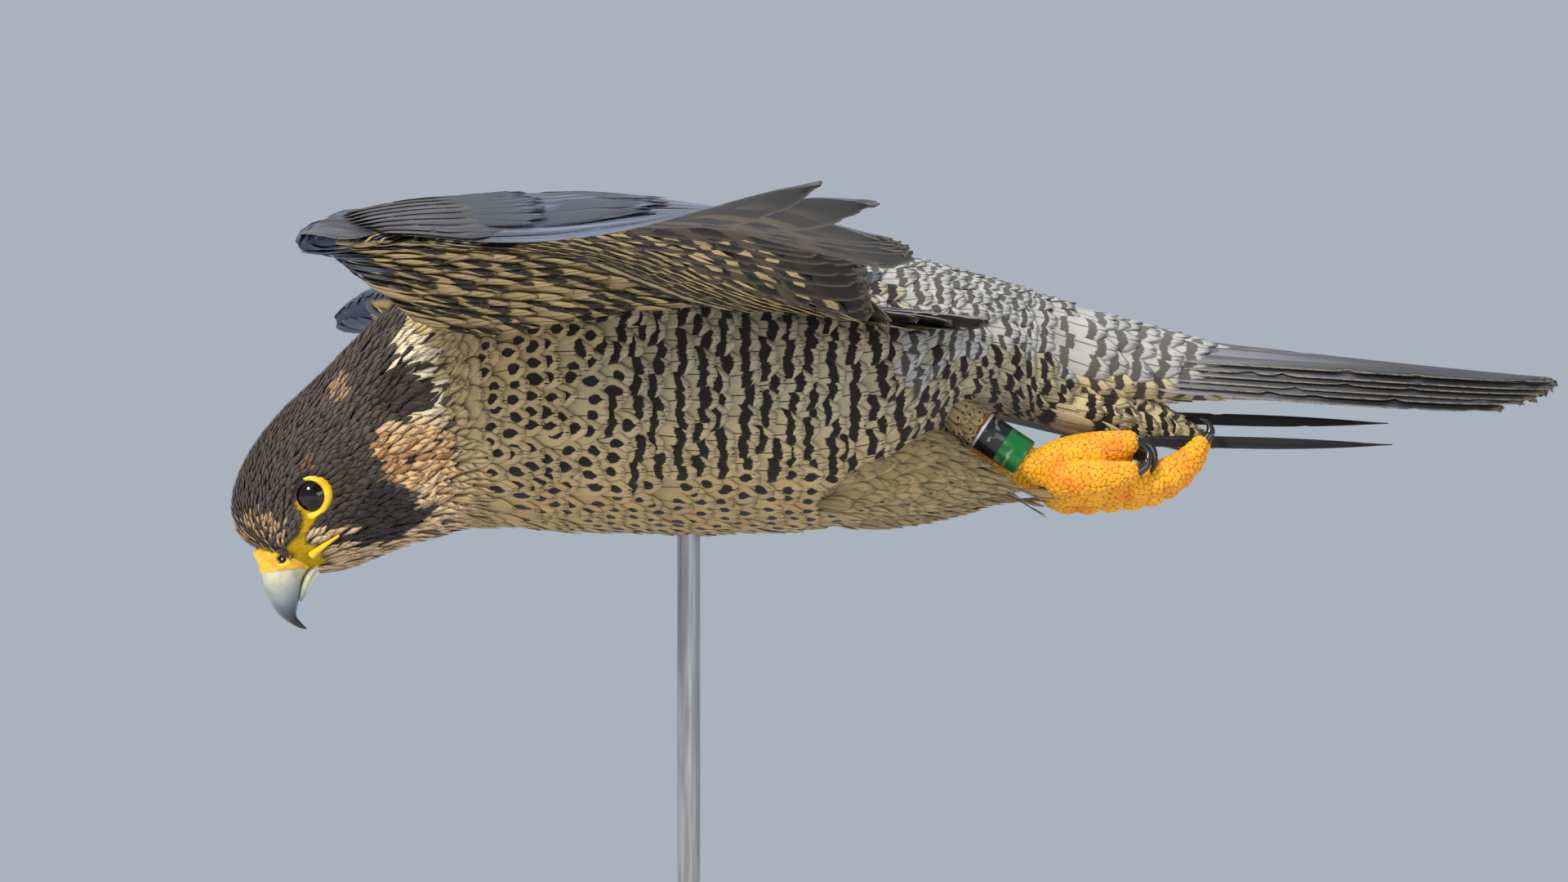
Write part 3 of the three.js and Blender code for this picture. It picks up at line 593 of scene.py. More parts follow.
def wing_core(wing):
    hand_way = bearing(wing["sweep"] - 4)
    t = np.linspace(0, 1, WING_CORE_RINGS)[:, None]
    a = (np.arange(WING_CORE_SIDES) / WING_CORE_SIDES * 2 * math.pi)[None]
    on_arm = np.clip(t / 0.6, 0, 1)
    on_hand = np.clip((t - 0.6) / 0.4, 0, 1)
    out = mix(36, WRIST[1], on_arm) + hand_way[1] * (HAND_LENGTH + 10) * on_hand
    lead = mix(-110, WRIST[0] - 3, on_arm**0.8) + hand_way[0] * (HAND_LENGTH + 10) * on_hand
    chord = mix(mix(122, 46, on_arm**1.3), 13, on_hand)
    thick = mix(mix(20, 13, on_arm), 4, on_hand)
    back = (1 - np.cos(a)) / 2
    x = lead + chord * back**1.25
    fat = thick * np.maximum(0.24, np.sqrt(1 - back**1.6))
    out = out + 0 * a
    level = wing_height(wing, x, out) + VANE_STACK * index_at(out) - 0.5
    points = np.stack([x, wing["side"] * out, level + np.sin(a) * fat * 0.5], -1)
    return points


wing_forms = {key: Surface(wing_core(wing)) for key, wing in WINGS.items()}
print("wing cores:", {key: form.grid.shape[:2] for key, form in wing_forms.items()})

# %% [markdown]
# The skin is the body under the feathers. Trunk, thighs, wing bars, tail core and vent are separate closed
# forms, each shrunk by the depth of its coat. A voxel remesh fuses them into one seamless skin. That is the
# quickest way to blend forms that meet at odd angles, and the feathers hide its even grid of faces.

# %% One skin
COAT_DEPTH = 2.2
FACE_DEPTH = 1.0
THIGH_DEPTH = 1.4
WING_DEPTH = 0.9
TAIL_DEPTH = 2.0
UNDERTAIL_DEPTH = 1.6
SKIN_VOXEL = 1.7  # millimetres


SKIN_ROUNDS = 3  # of smoothing


def shrunk(form, depth):
    return form.grid - form.out * np.asarray(depth)[..., None]


face_share = ease(-100, -140, trunk_form.grid[..., 0])
flesh = [shrunk(trunk_form, mix(COAT_DEPTH, FACE_DEPTH, face_share))]
flesh += [shrunk(form, THIGH_DEPTH) for form in thigh_forms.values()]
flesh += [shrunk(form, WING_DEPTH) for form in wing_forms.values()]
flesh += [shrunk(tail_form, TAIL_DEPTH), shrunk(undertail_form, UNDERTAIL_DEPTH)]
skin_mesh = fused("skin", flesh, SKIN_VOXEL, SKIN_ROUNDS)
skin = bpy.data.objects.new("skin", skin_mesh)
bpy.context.scene.collection.objects.link(skin)
print("skin", len(skin_mesh.polygons), "faces")

# %% [markdown]
# Materials are built from nodes in code. A recipe makes a node and links or sets its inputs in one call.
# What a node gives out is held as a wire, which adds and multiplies like a number, so that a recipe of
# fifty nodes still reads as plain sums. Numbers that never change are set on the sockets themselves.

# %% Material helper
class Wire:
    """The output of a node. Each sum with it adds a Math node."""

    def __init__(self, recipe, socket):
        self.recipe = recipe
        self.socket = socket

    def __add__(self, other):
        return self.recipe.math("ADD", self, other)

    def __sub__(self, other):
        return self.recipe.math("SUBTRACT", self, other)

    def __rsub__(self, other):
        return self.recipe.math("SUBTRACT", other, self)

    def __mul__(self, other):
        return self.recipe.math("MULTIPLY", self, other)

    def __truediv__(self, other):
        return self.recipe.math("DIVIDE", self, other)

    def __rtruediv__(self, other):
        return self.recipe.math("DIVIDE", other, self)

    def __abs__(self):
        return self.recipe.math("ABSOLUTE", self)

    __radd__ = __add__
    __rmul__ = __mul__


class Recipe:
    def __init__(self, name, roughness=0.7, **fixed):
        self.material = bpy.data.materials.new(name)
        self.material.use_nodes = True
        self.tree = self.material.node_tree
        self.shader = self.tree.nodes["Principled BSDF"]
        self.shader.inputs["Roughness"].default_value = roughness
        for key, value in fixed.items():
            self.shader.inputs[key.replace("_", " ")].default_value = value

    def put(self, socket, value):
        if isinstance(value, Wire):
            self.tree.links.new(value.socket, socket)
        elif isinstance(value, tuple) and len(value) == 3 and len(socket.default_value) == 4:
            socket.default_value = (*value, 1)
        else:
            socket.default_value = value

    def node(self, kind, *values):
        node = self.tree.nodes.new("ShaderNode" + kind)
        for socket, value in zip(node.inputs, values):
            self.put(socket, value)
        return node

    def math(self, operation, *values):
        node = self.node("Math", *values)
        node.operation = operation
        return Wire(self, node.outputs[0])

    def blend(self, factor, a, b, how="MIX"):
        node = self.node("Mix")
        node.data_type = "RGBA"
        node.blend_type = how
        for key, value in (("Factor", factor), (6, a), (7, b)):
            self.put(node.inputs[key], value)
        return Wire(self, node.outputs[2])

    def shaded(self, colour, lightness):
        """A colour multiplied by a lightness."""
        return self.blend(1.0, colour, self.vector(lightness, lightness, lightness), "MULTIPLY")

    def step(self, value, low, high):
        """0 below low and 1 above high, smoothly."""
        node = self.node("MapRange", value, low, high)
        node.interpolation_type = "SMOOTHSTEP"
        return Wire(self, node.outputs["Result"])

    def stored(self, name, output="Color"):
        """A value stored on the points: its Color, its Alpha or its Vector."""
        node = self.node("Attribute")
        node.attribute_name = name
        return Wire(self, node.outputs[output])

    def numbers(self, name):
        """The three numbers of a vector stored on the points."""
        node = self.node("SeparateXYZ", self.stored(name, "Vector"))
        return [Wire(self, output) for output in node.outputs]

    def vector(self, x, y, z):
        return Wire(self, self.node("CombineXYZ", x, y, z).outputs[0])

    def noise(self, scale, where=None, detail=2.0, stretch=None):
        where = where or Wire(self, self.node("TexCoord").outputs["Object"])
        if stretch:
            scaled = self.node("VectorMath", where, stretch)
            scaled.operation = "MULTIPLY"
            where = Wire(self, scaled.outputs[0])
        node = self.node("TexNoise", where)
        node.inputs["Scale"].default_value = scale
        node.inputs["Detail"].default_value = detail
        return Wire(self, node.outputs[0])

    def relief(self, height, distance, strength=1.0):
        node = self.node("Bump")
        node.inputs["Strength"].default_value = strength
        node.inputs["Distance"].default_value = distance
        self.put(node.inputs["Height"], height)
        self.put(self.shader.inputs["Normal"], Wire(self, node.outputs[0]))

    def colour(self, value):
        self.put(self.shader.inputs["Base Color"], value)


def srgb(red, green, blue):
    """A colour named by its 0 to 255 screen values, as the linear values that a shader wants."""
    channels = np.array([red, green, blue]) / 255
    linear = np.where(channels <= 0.04045, channels / 12.92, ((channels + 0.055) / 1.055) ** 2.4)
    return tuple(float(c) for c in linear)


print("black-brown marking ink is", [round(c, 4) for c in srgb(38, 27, 22)])

# %% [markdown]
# A body feather is a shaft with barbs slanting off it towards the tip. Dark bars and drops are painted
# across those barbs, so their edges are finely toothed along them. The plumage finish therefore works in
# each feather's own coordinates: s across it, from -1 to 1, and u along it, from 0 at the root to 1 at the
# tip. Each feather brings its own ground colour, ink colour, number of bars, size of drop and width of
# shaft line.

# %% Plumage finish
TURN = 2 * math.pi


def plumage(name, barb_count=46.0, tooth=0.05, roughness=0.72, thin=0.42):
    """thin is the level above which the wave of the bars is dark, so less of it gives broader bars."""
    r = Recipe(name, roughness, Specular_IOR_Level=0.25, Sheen_Weight=0.12, Sheen_Roughness=0.5)
    s, u, seed = r.numbers("vane")
    bars, drop, shaft = r.numbers("mark")
    far = abs(s)
    barb = u - far * 0.22
    shift = seed * 57.0
    wave = r.noise(1.0, r.vector(s * 1.3, u * 2.6, shift))
    comb = r.noise(1.0, r.vector(barb * (barb_count * 0.8), s * 1.2, shift))
    finer = 1.65 / r.math("MAXIMUM", bars, 1.65)  # many bars on a feather waver less
    bent = u + ((wave - 0.5) * 0.22 + (comb - 0.5) * (tooth * 2)) * finer
    turns = (bent + far * far * 0.07 - 0.83) * bars * TURN
    striped = r.step(r.math("COSINE", turns), thin, thin + 0.30) * r.step(bars, 0.2, 0.6)
    across = s / 0.52
    down = (bent - 0.80) / 0.15
    spread = across * across + down * down
    dropped = 1.0 - r.step(spread / r.math("MAXIMUM", drop, 0.01), 0.75, 1.15)
    dropped = dropped * r.step(drop, 0.02, 0.2)
    lined = (1.0 - r.step(far - shaft, -0.03, 0.03)) * r.step(shaft, 0.005, 0.03)
    inked = r.math("MAXIMUM", r.math("MAXIMUM", striped, dropped), lined) * r.stored("ink", "Alpha")
    ribs = r.math("SINE", barb * (barb_count * TURN))
    lightness = 0.80 + comb * 0.34 + (r.noise(900.0, detail=3) - 0.5) * 0.25 + ribs * 0.035
    lightness = lightness * (0.72 + r.step(u, 0.1, 0.75) * 0.28)
    r.colour(r.blend(inked, r.shaded(r.stored("ground"), lightness), r.stored("ink")))
    ridge = (1.0 - r.step(far, 0.0, 0.08)) * 0.8
    r.relief(ribs * 0.5 + ridge + comb, 0.00022, 0.55)
    return r.material


plumage_finish = plumage("plumage_finish")
down_finish = plumage("down_finish", barb_count=9.0, tooth=0.03, roughness=0.8)
underwing_finish = plumage("underwing_finish", thin=-0.15)  # its dark bars are as broad as the pale ones
print("plumage finish has", len(plumage_finish.node_tree.nodes), "nodes")

# %% [markdown]
# One function lays any number of small feathers at once. A feather is a thin closed blade: several points
# across its face and one along a keel beneath. It starts just over the skin and its tip lies a little
# higher, so each row covers the roots of the next. The tip is toothed, since barbs part at their ends.

# %% Laying feathers
TUFT_PATCH = 0.003  # size of one feather on the unwrap


def blade_share(u, roundness):
    """Share of the full width at u: narrow at the root, full in the middle, rounded at the tip."""
    base = np.minimum(1, 0.45 + 2.4 * u)
    start = 0.62
    tail = np.sqrt(np.clip(1 - (np.clip(u - start, 0, 1) / (1.02 - start)) ** 2, 0, 1))
    return base * np.where(u < start, 1, tail**roundness)


def lay_feathers(form, p, q, length, width, heading=0.0, columns=9, rows=8, low=0.1, rise=1.5, camber=0.05,
                 teeth=0.07, thick=0.16, roundness=1.0, seed=1, bounds=(0.0, 0.0, 1.0, 1.0), roll=0.0):
    """Blades laid on a form, as arrays. length and width are millimetres, heading turns them off the lie."""
    rng = np.random.default_rng(seed)
    n = len(p)
    spread = [np.broadcast_to(np.asarray(v, float), (n,)) for v in (length, width, heading, low, rise, roll)]
    length, width, heading, low, rise, roll = spread
    u = np.linspace(0, 1, rows)[None, :, None]
    s = np.append(np.linspace(-1, 1, columns), 0.0)[None, None, :]
    keel = (np.arange(columns + 1) == columns)[None, None, :]
    own = rng.random(n)
    tooth = np.where(np.arange(columns + 1) % 2 == 0, 1.0, -0.6)[None]
    tooth = tooth * rng.uniform(0.4, 1.3, (n, columns + 1))
    tooth[:, columns] = 0
    u_true = u + teeth * tooth[:, None, :] * u**5
    share = blade_share(np.clip(u, 0, 1), roundness)
    side_bend = rng.normal(0, 0.05, n)[:, None, None]
    along = u_true * length[:, None, None]
    across = s * share * width[:, None, None] / 2 + side_bend * length[:, None, None] * u**2
    c, w = np.cos(heading)[:, None, None], np.sin(heading)[:, None, None]
    per_p, per_q = form.scale(p, q)
    pp = p[:, None, None] + (along * c - across * w) / per_p[:, None, None]
    qq = q[:, None, None] + (along * w + across * c) / per_q[:, None, None]
    height = low[:, None, None] + rise[:, None, None] * u_true + rng.uniform(-0.12, 0.12, n)[:, None, None]
    height = height - camber * (s * share) ** 2 * width[:, None, None] + roll[:, None, None] * s * share
    height = height - np.where(keel, thick * (1 - 0.6 * u), 0)
    points = form.at(pp, qq) + form.outward(pp, qq) * height[..., None]
    over = np.clip(pp - 1, 0, None) * per_p[:, None, None]
    if over.max() > 0:
        ahead = unit(form.at(np.ones_like(pp), qq) - form.at(np.full_like(pp, 0.97), qq))
        points = points + ahead * over[..., None]
    vane = np.stack([s + 0 * u_true, u_true + 0 * s, own[:, None, None] + 0 * u_true], -1)
    root = np.stack([mix(bounds[0], bounds[2], q % 1.0), mix(bounds[1], bounds[3], np.clip(p, 0, 1))], -1)
    patch = np.stack([s * share / 2 + 0 * u_true, u - 0.5 + 0 * u_true], -1) * TUFT_PATCH
    return {"points": points, "vane": vane, "unwrap": root[:, None, None] + patch, "rows": rows,
            "ring": columns + 1, "count": n}


def feather_piece(name, batches, looks, material):
    """Joins batches of blades into one piece. looks gives each batch its colours and marks."""
    points, quads, tris, unwrap, offset = [], [], [], [], 0
    values = {"vane": [], "ground": [], "ink": [], "mark": []}
    for batch, look in zip(batches, looks):
        size = batch["rows"] * batch["ring"]
        points.append(room(batch["points"].reshape(-1, 3)))
        quads.append(tube_quads(batch["rows"], batch["ring"], batch["count"]) + offset)
        tris.append(cap_tris(batch["rows"], batch["ring"], batch["count"]) + offset)
        unwrap.append(batch["unwrap"].reshape(-1, 2))
        values["vane"].append(batch["vane"].reshape(-1, 3))
        for key in ("ground", "ink", "mark"):
            values[key].append(np.repeat(look[key], size, axis=0))
        offset += size * batch["count"]
    piece = mesh_piece(name, np.concatenate(points), np.concatenate(quads), np.concatenate(tris),
                       {key: np.concatenate(value) for key, value in values.items()}, np.concatenate(unwrap))
    return finish_piece(piece, material)


print("a body feather has", 2 * 10 * 7 + 2 * 8, "triangles")

# %% [markdown]
# A peregrine's markings follow its body, so one map of the body says what every feather there looks like.
# The map is written the way a museum painter would plan it on a side view: a dark hood with its moustache,
# a pale cheek band down the neck whose cream is partly painted sunlight and whose rear edge is a painted
# shadow line, a buff breast with drops, barred flanks, a slate back and a pale barred rump.
# Places on the side view are in pixels of the reference picture's frame, at the bird's middle plane.

# %% Side view map
PIXEL_MM = 0.2817
PIXEL_X = 900
PIXEL_Y = 500
# This outline runs down the side of the neck: its cream is partly the pale plumage there and partly painted
# sunlight on the neck.
CHEEK_AND_SUNLIT_NECK = [(503, 378), (533, 435), (545, 498), (554, 540), (569, 609), (530, 622), (500, 612), (479, 600),
         (459, 570), (461, 540), (491, 525), (518, 522), (536, 498), (515, 465), (488, 450), (486, 420)]
MOUSTACHE = [(404, 668), (440, 655), (462, 596), (482, 606), (505, 618), (536, 630), (520, 647),
             (486, 663), (445, 675)]
THROAT = [(372, 700), (405, 682), (445, 676), (486, 664), (522, 648), (560, 622), (620, 650),
          (520, 700), (400, 730)]
# The head's edge is drawn on the line where the wing's shadow falls across the neck, so the step from the
# cream neck to the buff breast there is partly a painted shadow edge.
HEAD_EDGE_ON_SHADOW_LINE = [  # y, then x
    (350, 487), (385, 505), (435, 534), (498, 547), (540, 556), (610, 571), (660, 560)]


def side_view(points):
    return points[..., 0] / PIXEL_MM + PIXEL_X, PIXEL_Y - points[..., 2] / PIXEL_MM


def inside_share(x, y, outline, soft):
    """1 well inside an outline, 0 well outside it, with an edge that is soft pixels wide."""
    corners = np.array(outline, float)
    nearest = np.full(x.shape, 1e9)
    crossings = np.zeros(x.shape, bool)
    for (ax, ay), (bx, by) in zip(corners, np.roll(corners, -1, 0)):
        t = np.clip(((x - ax) * (bx - ax) + (y - ay) * (by - ay)) / ((bx - ax) ** 2 + (by - ay) ** 2), 0, 1)
        nearest = np.minimum(nearest, np.hypot(x - ax - t * (bx - ax), y - ay - t * (by - ay)))
        straddles = (ay > y) != (by > y)
        slope = (bx - ax) * (y - ay) / ((by - ay) if by != ay else 1e-9) + ax
        crossings ^= straddles & (x < slope)
    return ease(-soft, soft, np.where(crossings, nearest, -nearest))


SPOT_SOFT = 0.35  # how far a spot's edge fades either way, as a share of its radius


def spot_share(x, y, centre, radii):
    distance = np.hypot((x - centre[0]) / radii[0], (y - centre[1]) / radii[1])
    return ease(1 + SPOT_SOFT, 1 - SPOT_SOFT, distance)


HOOD = srgb(98, 86, 77)
HOOD_DARK = srgb(52, 44, 39)
CREAM = srgb(242, 226, 192)
PEACH = srgb(226, 184, 132)
RUST = srgb(178, 112, 66)
BUFF = srgb(206, 180, 130)
BUFF_WARM = srgb(198, 160, 100)
BUFF_GREY = srgb(186, 172, 142)
THIGH_BUFF = srgb(190, 164, 112)
SLATE = srgb(98, 100, 106)
SLATE_DARK = srgb(50, 50, 54)
RUMP = srgb(188, 184, 176)
RUMP_MARK = srgb(78, 72, 68)
INK = srgb(34, 25, 20)
print("side view map of", len(CHEEK_AND_SUNLIT_NECK) + len(MOUSTACHE) + len(THROAT), "outline points")

# %% [markdown]
# Most coverts look alike, apart from a tone of their own. One helper writes such a look for any number of
# them.

# %% Plain looks
def plain_look(tones, ground, ink, mark, strength=1.0):
    """The same ground, ink and mark for every feather. tones, one row each, darken or lighten the ground."""
    count = len(tones)
    ground = np.asarray(ground) * tones
    return {"ground": np.concatenate([ground, np.ones((count, 1))], 1),
            "ink": np.tile(np.array((*ink, strength)), (count, 1)),
            "mark": np.tile(np.array(mark, float), (count, 1))}


def covert_look(count, ground, ink, mark, rng, spread=0.10):
    return plain_look(rng.uniform(1 - spread, 1 + spread, (count, 1)), ground, ink, mark)


print("plain looks ready")

# %% [markdown]
# The map turns a place on the body into a look: ground colour, ink colour and marks. Along soft borders
# each feather takes one side or the other by a seeded draw. A border then looks ragged and feathery, as it
# does on the bird, and never airbrushed.

# %% Look of a place on the body
def paint(base, colour, share):
    return mix(base, np.asarray(colour)[None], np.asarray(share)[:, None])


CHEEK_FLECKS = 0.06  # share of dark feathers in the pale cheek
CHIN_FLECKS = 0.10


def body_look(points, outward, rng):
    """Looks for feathers whose showing part is at these points of the bird's frame."""
    n = len(points)
    px, py = side_view(points)
    up = outward[:, 2]
    pick = rng.random(n)

    def draw(share):
        return (share > pick).astype(float)

    head = draw(ease(5, -5, px - np.interp(py, *zip(*HEAD_EDGE_ON_SHADOW_LINE))))
    # torso
    back = draw(ease(0.50, 0.78, up) * ease(560, 620, px))
    rump = draw(ease(1060, 1120, px) * ease(-0.35, 0.0, up))
    ground = paint(np.tile(np.array(BUFF), (n, 1)), BUFF_GREY, ease(640, 820, px) * ease(600, 470, py))
    ground = paint(ground, BUFF_WARM, ease(560, 660, py) * 0.8)
    ground = paint(ground, SLATE, back)
    ground = paint(ground, RUMP, rump)
    ink = np.tile(np.array((*INK, 1.0)), (n, 1))
    ink[:, :3] = paint(ink[:, :3], SLATE_DARK, back)
    ink[:, :3] = paint(ink[:, :3], RUMP_MARK, rump)
    flank = ease(690, 800, px) * ease(640, 560, py)
    belly = ease(585, 640, py)
    bars = mix(0, 1.65, draw(flank)) * (1 - draw(belly * 0.75))
    drops = np.where(bars > 0, 0, 0.55 + 0.45 * rng.random(n)) * draw(ease(585, 620, px)) * (1 - 0.45 * belly)
    drops *= 1 - draw(ease(1010, 1120, px) * ease(590, 610, py))
    drops *= 1 - draw(0.55 * ease(600, 640, py) * ease(720, 600, px))
    bars = np.where(back + rump > 0, 2.2, bars)
    drops = np.where(back + rump > 0, 0, drops)
    shaft = np.where(bars + drops > 0, 0.035, 0.0)
    # head
    hood = paint(np.tile(np.array(HOOD), (n, 1)), HOOD_DARK, 0.55 * rng.random(n) ** 2)
    hood = paint(hood, HOOD_DARK, 0.8 * spot_share(px, py, (505, 480), (42, 46)))
    hood = paint(hood, HOOD_DARK, 0.55 * spot_share(px, py, (430, 630), (50, 60)))
    hood = paint(hood, PEACH, 0.75 * draw(0.62 * spot_share(px, py, (318, 652), (34, 26))))
    hood = paint(hood, PEACH, 0.5 * draw(0.8 * spot_share(px, py, (419, 480), (13, 18))))
    hood = paint(hood, RUST, 0.5 * draw(0.5 * spot_share(px, py, (383, 572), (16, 12))))
    # Painted sunlight: the cream band is partly light falling on the neck, and it ends at the painted shadow
    # edge of the wing.
    cheek_and_sunlit_neck = draw(inside_share(px, py, CHEEK_AND_SUNLIT_NECK, 5))
    pale = paint(np.tile(np.array(CREAM), (n, 1)), PEACH, ease(500, 545, py))
    pale = paint(pale, RUST, 0.75 * draw(0.32 * ease(520, 560, py)))
    pale = paint(pale, HOOD_DARK, draw(CHEEK_FLECKS))
    hood = np.where(cheek_and_sunlit_neck[:, None] > 0, pale, hood)
    moustache = draw(inside_share(px, py, MOUSTACHE, 5))
    hood = paint(hood, HOOD_DARK, moustache)
    throat = draw(np.maximum(inside_share(px, py, THROAT, 4), ease(-0.35, -0.7, up) * ease(380, 400, px)))
    throat = throat * (1 - moustache)
    chin = paint(np.tile(np.array(PEACH), (n, 1)), CREAM, 0.5 * rng.random(n))
    chin = paint(chin, HOOD_DARK, 0.8 * draw(CHIN_FLECKS))
    hood = np.where(throat[:, None] > 0, chin, hood)
    is_head = head > 0
    ground = np.where(is_head[:, None], hood, ground)
    bars = np.where(is_head, 0, bars)
    drops = np.where(is_head, 0, drops)
    shaft = np.where(is_head, 0, shaft)
    ground = ground * rng.uniform(0.88, 1.1, (n, 1))
    look = {"ground": np.concatenate([ground, np.ones((n, 1))], 1), "ink": ink,
            "mark": np.stack([bars, drops, shaft], -1)}
    return look, is_head


print("body map ready")

# %% [markdown]
# Feathers grow in a loose even spacing, never on a grid. Scattered places come from many random candidates,
# from which any that lies too close to one already kept is dropped.

# %% Even scatter
NEIGHBOURS = [(a, b, c) for a in (-1, 0, 1) for b in (-1, 0, 1) for c in (-1, 0, 1)]


def kept_apart(points, reach, cell):
    """Numbers of the points that lie outside their reach of every point kept before them."""
    cells, kept = {}, []
    keys = np.floor(points / cell).astype(int).tolist()
    for k, (x, y, z) in enumerate(points.tolist()):
        kx, ky, kz = keys[k]
        limit = reach[k] ** 2
        around = (other for a, b, c in NEIGHBOURS for other in cells.get((kx + a, ky + b, kz + c), ()))
        if not any((x - ox) ** 2 + (y - oy) ** 2 + (z - oz) ** 2 < limit for ox, oy, oz in around):
            cells.setdefault((kx, ky, kz), []).append((x, y, z))
            kept.append(k)
    return kept


def scatter(form, spacing, seed, keep=None, p_range=(0.0, 1.0)):
    """Places p, q spread over a form, spacing millimetres apart. spacing may be a function of points."""
    rng = np.random.default_rng(seed)
    weight = (form.step_p * form.step_q).ravel()
    area = weight.sum()
    smallest = spacing if np.isscalar(spacing) else float(spacing(form.grid.reshape(-1, 3)).min())
    count = int(3.2 * area / smallest**2)
    chosen = rng.choice(len(weight), count, p=weight / area)
    i, j = np.divmod(chosen, form.cols)
    p = (i + rng.random(count)) / (form.rows - 1)
    q = ((j + rng.random(count)) / form.cols) % 1.0
    inside = (p > p_range[0]) & (p < p_range[1])
    p, q = p[inside], q[inside]
    points = form.at(p, q)
    if keep is not None:
        kept = keep(points)
        p, q, points = p[kept], q[kept], points[kept]
    reach = np.full(len(p), float(spacing)) if np.isscalar(spacing) else spacing(points)
    taken = kept_apart(points, reach, float(reach.max()))
    return p[taken], q[taken]


print("scatter helper ready")

# %% [markdown]
# The head's feathers are the smallest: about four millimetres on the forehead and face, up to ten down the
# nape. They are laid as slim tufts, thousands of them. The eye's ring, the cere, the skin between the two
# and the corner of the mouth stay bare. Each colour comes from the body map at the place where the tuft's
# tip shows.

# %% Head feathers
HEAD_COLUMNS = 3
HEAD_ROWS = 4
LID_RADIUS = 7.2  # of the bare ring round the eye
BARE_LORE = [
    # side view places x, z of the bare yellow path from the eye to the cere, and its half width
    (-147.6, -37.0, 3.6), (-147.6, -40.0, 3.9), (-148.0, -42.5, 2.8), (-148.6, -45.0, 2.0),
    (-149.2, -48.5, 2.4), (-152.5, -50.5, 2.2), (-149.0, -51.5, 2.8), (-146.0, -51.2, 2.6),
    (-144.0, -51.4, 2.2),
    (-150.0, -53.6, 2.2), (-146.0, -54.4, 2.6), (-142.6, -54.0, 2.2),
]
GAPE_PATH = [(-145.0, -52.0), (-142.6, -50.2), (-139.4, -48.0), (-135.4, -45.4)]
GAPE_HALF = 1.0  # half width of the bare strip under the gape


def eye_gap(points):
    """Distance of points from the nearer eye's axis, in millimetres."""
    mirrored = points * np.array([1, 0, 1]) + np.abs(points) * np.array([0, 1, 0])
    away = mirrored - EYE
    along = away @ EYE_AXIS
    gap = np.linalg.norm(away - along[..., None] * EYE_AXIS, axis=-1)
    return np.where(along > 0, gap, 99)


def bare_skin(points):
    """True where the face carries yellow skin instead of feathers."""
    x, z = points[..., 0], points[..., 2]
    bare = np.zeros(x.shape, bool)
    for path in (np.array(BARE_LORE), np.array([(*place, GAPE_HALF) for place in GAPE_PATH])):
        steps = np.linspace(0, len(path) - 1, 40)
        fine = np.stack([np.interp(steps, np.arange(len(path)), column) for column in path.T], -1)
        for cx, cz, half in fine:
            bare |= (x - cx) ** 2 + (z - cz) ** 2 < half**2
    return bare & (np.abs(points[..., 1]) > 5)


def on_head(points):
    px, py = side_view(points)
    edge = np.interp(py, *zip(*HEAD_EDGE_ON_SHADOW_LINE))
    ring = LID_RADIUS + 1.6 * ease(-141, -149, points[:, 0]) * ease(-31, -38, points[:, 2])
    return (px < edge + 7) & (eye_gap(points) > ring) & ~bare_skin(points)


def head_spacing(points):
    return mix(1.15, 2.1, ease(-160, -105, points[..., 0]))


p, q = scatter(trunk_form, head_spacing, 11, on_head, (0.012, 0.60))
points = trunk_form.at(p, q)
size = ease(-165, -108, points[:, 0])
rng = np.random.default_rng(12)
length = mix(3.6, 9.5, size) * rng.uniform(0.85, 1.2, len(p))
width = mix(1.25, 2.9, size) * rng.uniform(0.85, 1.15, len(p))
px, py = side_view(points)
shag = spot_share(px, py, (510, 490), (34, 46)) + spot_share(px, py, (520, 632), (26, 20))
length = length * (1 + 0.35 * shag)
heading = rng.normal(0, 0.10, len(p)) + 0.25 * shag * rng.normal(0, 1, len(p))
head_batch = lay_feathers(trunk_form, p, q, length, width, heading, HEAD_COLUMNS, HEAD_ROWS, low=-0.5,
                          rise=mix(0.9, 1.7, size) + 0.5 * shag, camber=0.10, teeth=0.0, thick=0.14,
                          roundness=1.3, seed=13)
tips = head_batch["points"][:, 2, HEAD_COLUMNS // 2]
head_look, _ = body_look(tips, trunk_form.outward(p, q), rng)
head_look["mark"][:] = 0
feather_piece("head_feathers", [head_batch], [head_look], down_finish)

# %% [markdown]
# Breast, flank, belly and back wear broad contour feathers in rows, like roof tiles. Rows matter here,
# since the bars of neighbouring feathers in a row join into the wavy vertical lines that flanks show. The
# pitch grows from small at the neck to wide on the flank.

# %% Rows of contour feathers
ROW_JITTER = 0.16  # of the pitch


def rows_of(form, start, end, pitch_along, pitch_across, seed, keep=None):
    """Places p, q in staggered rows round a form. Both pitches are millimetres, or functions of p."""
    rng = np.random.default_rng(seed)
    along = pitch_along if callable(pitch_along) else (lambda value: pitch_along)
    across = pitch_across if callable(pitch_across) else (lambda value: pitch_across)
    ps, qs, p, odd = [], [], start, 0
    while p < end:
        q_fine = np.linspace(0, 1, 400, endpoint=False)
        per_p, per_q = form.scale(np.full(400, p), q_fine)
        around = per_q.mean()
        count = max(6, int(round(around / across(p))))
        even = (np.arange(count) + 0.5 * odd) / count
        reach = np.cumsum(per_q) / per_q.sum()
        q = np.interp(even % 1.0, reach, q_fine)
        ps.append(p + rng.normal(0, ROW_JITTER, count) * along(p) / per_p.mean())
        qs.append((q + rng.normal(0, ROW_JITTER, count) * across(p) / around) % 1.0)
        p += along(p) / per_p.mean()
        odd = 1 - odd
    p, q = np.concatenate(ps), np.concatenate(qs)
    if keep is not None:
        kept = keep(form.at(p, q))
        p, q = p[kept], q[kept]
    return p, q


def on_torso(points):
    px, py = side_view(points)
    return px > np.interp(py, *zip(*HEAD_EDGE_ON_SHADOW_LINE)) - 4


SMALL_PITCH = 5.0  # feathers in closer rows than this have smaller drops


def torso_pitch(p):
    return float(np.interp(p, [0.44, 0.55, 0.68, 0.85, 1.0], [3.4, 5.6, 7.4, 7.6, 6.2]))


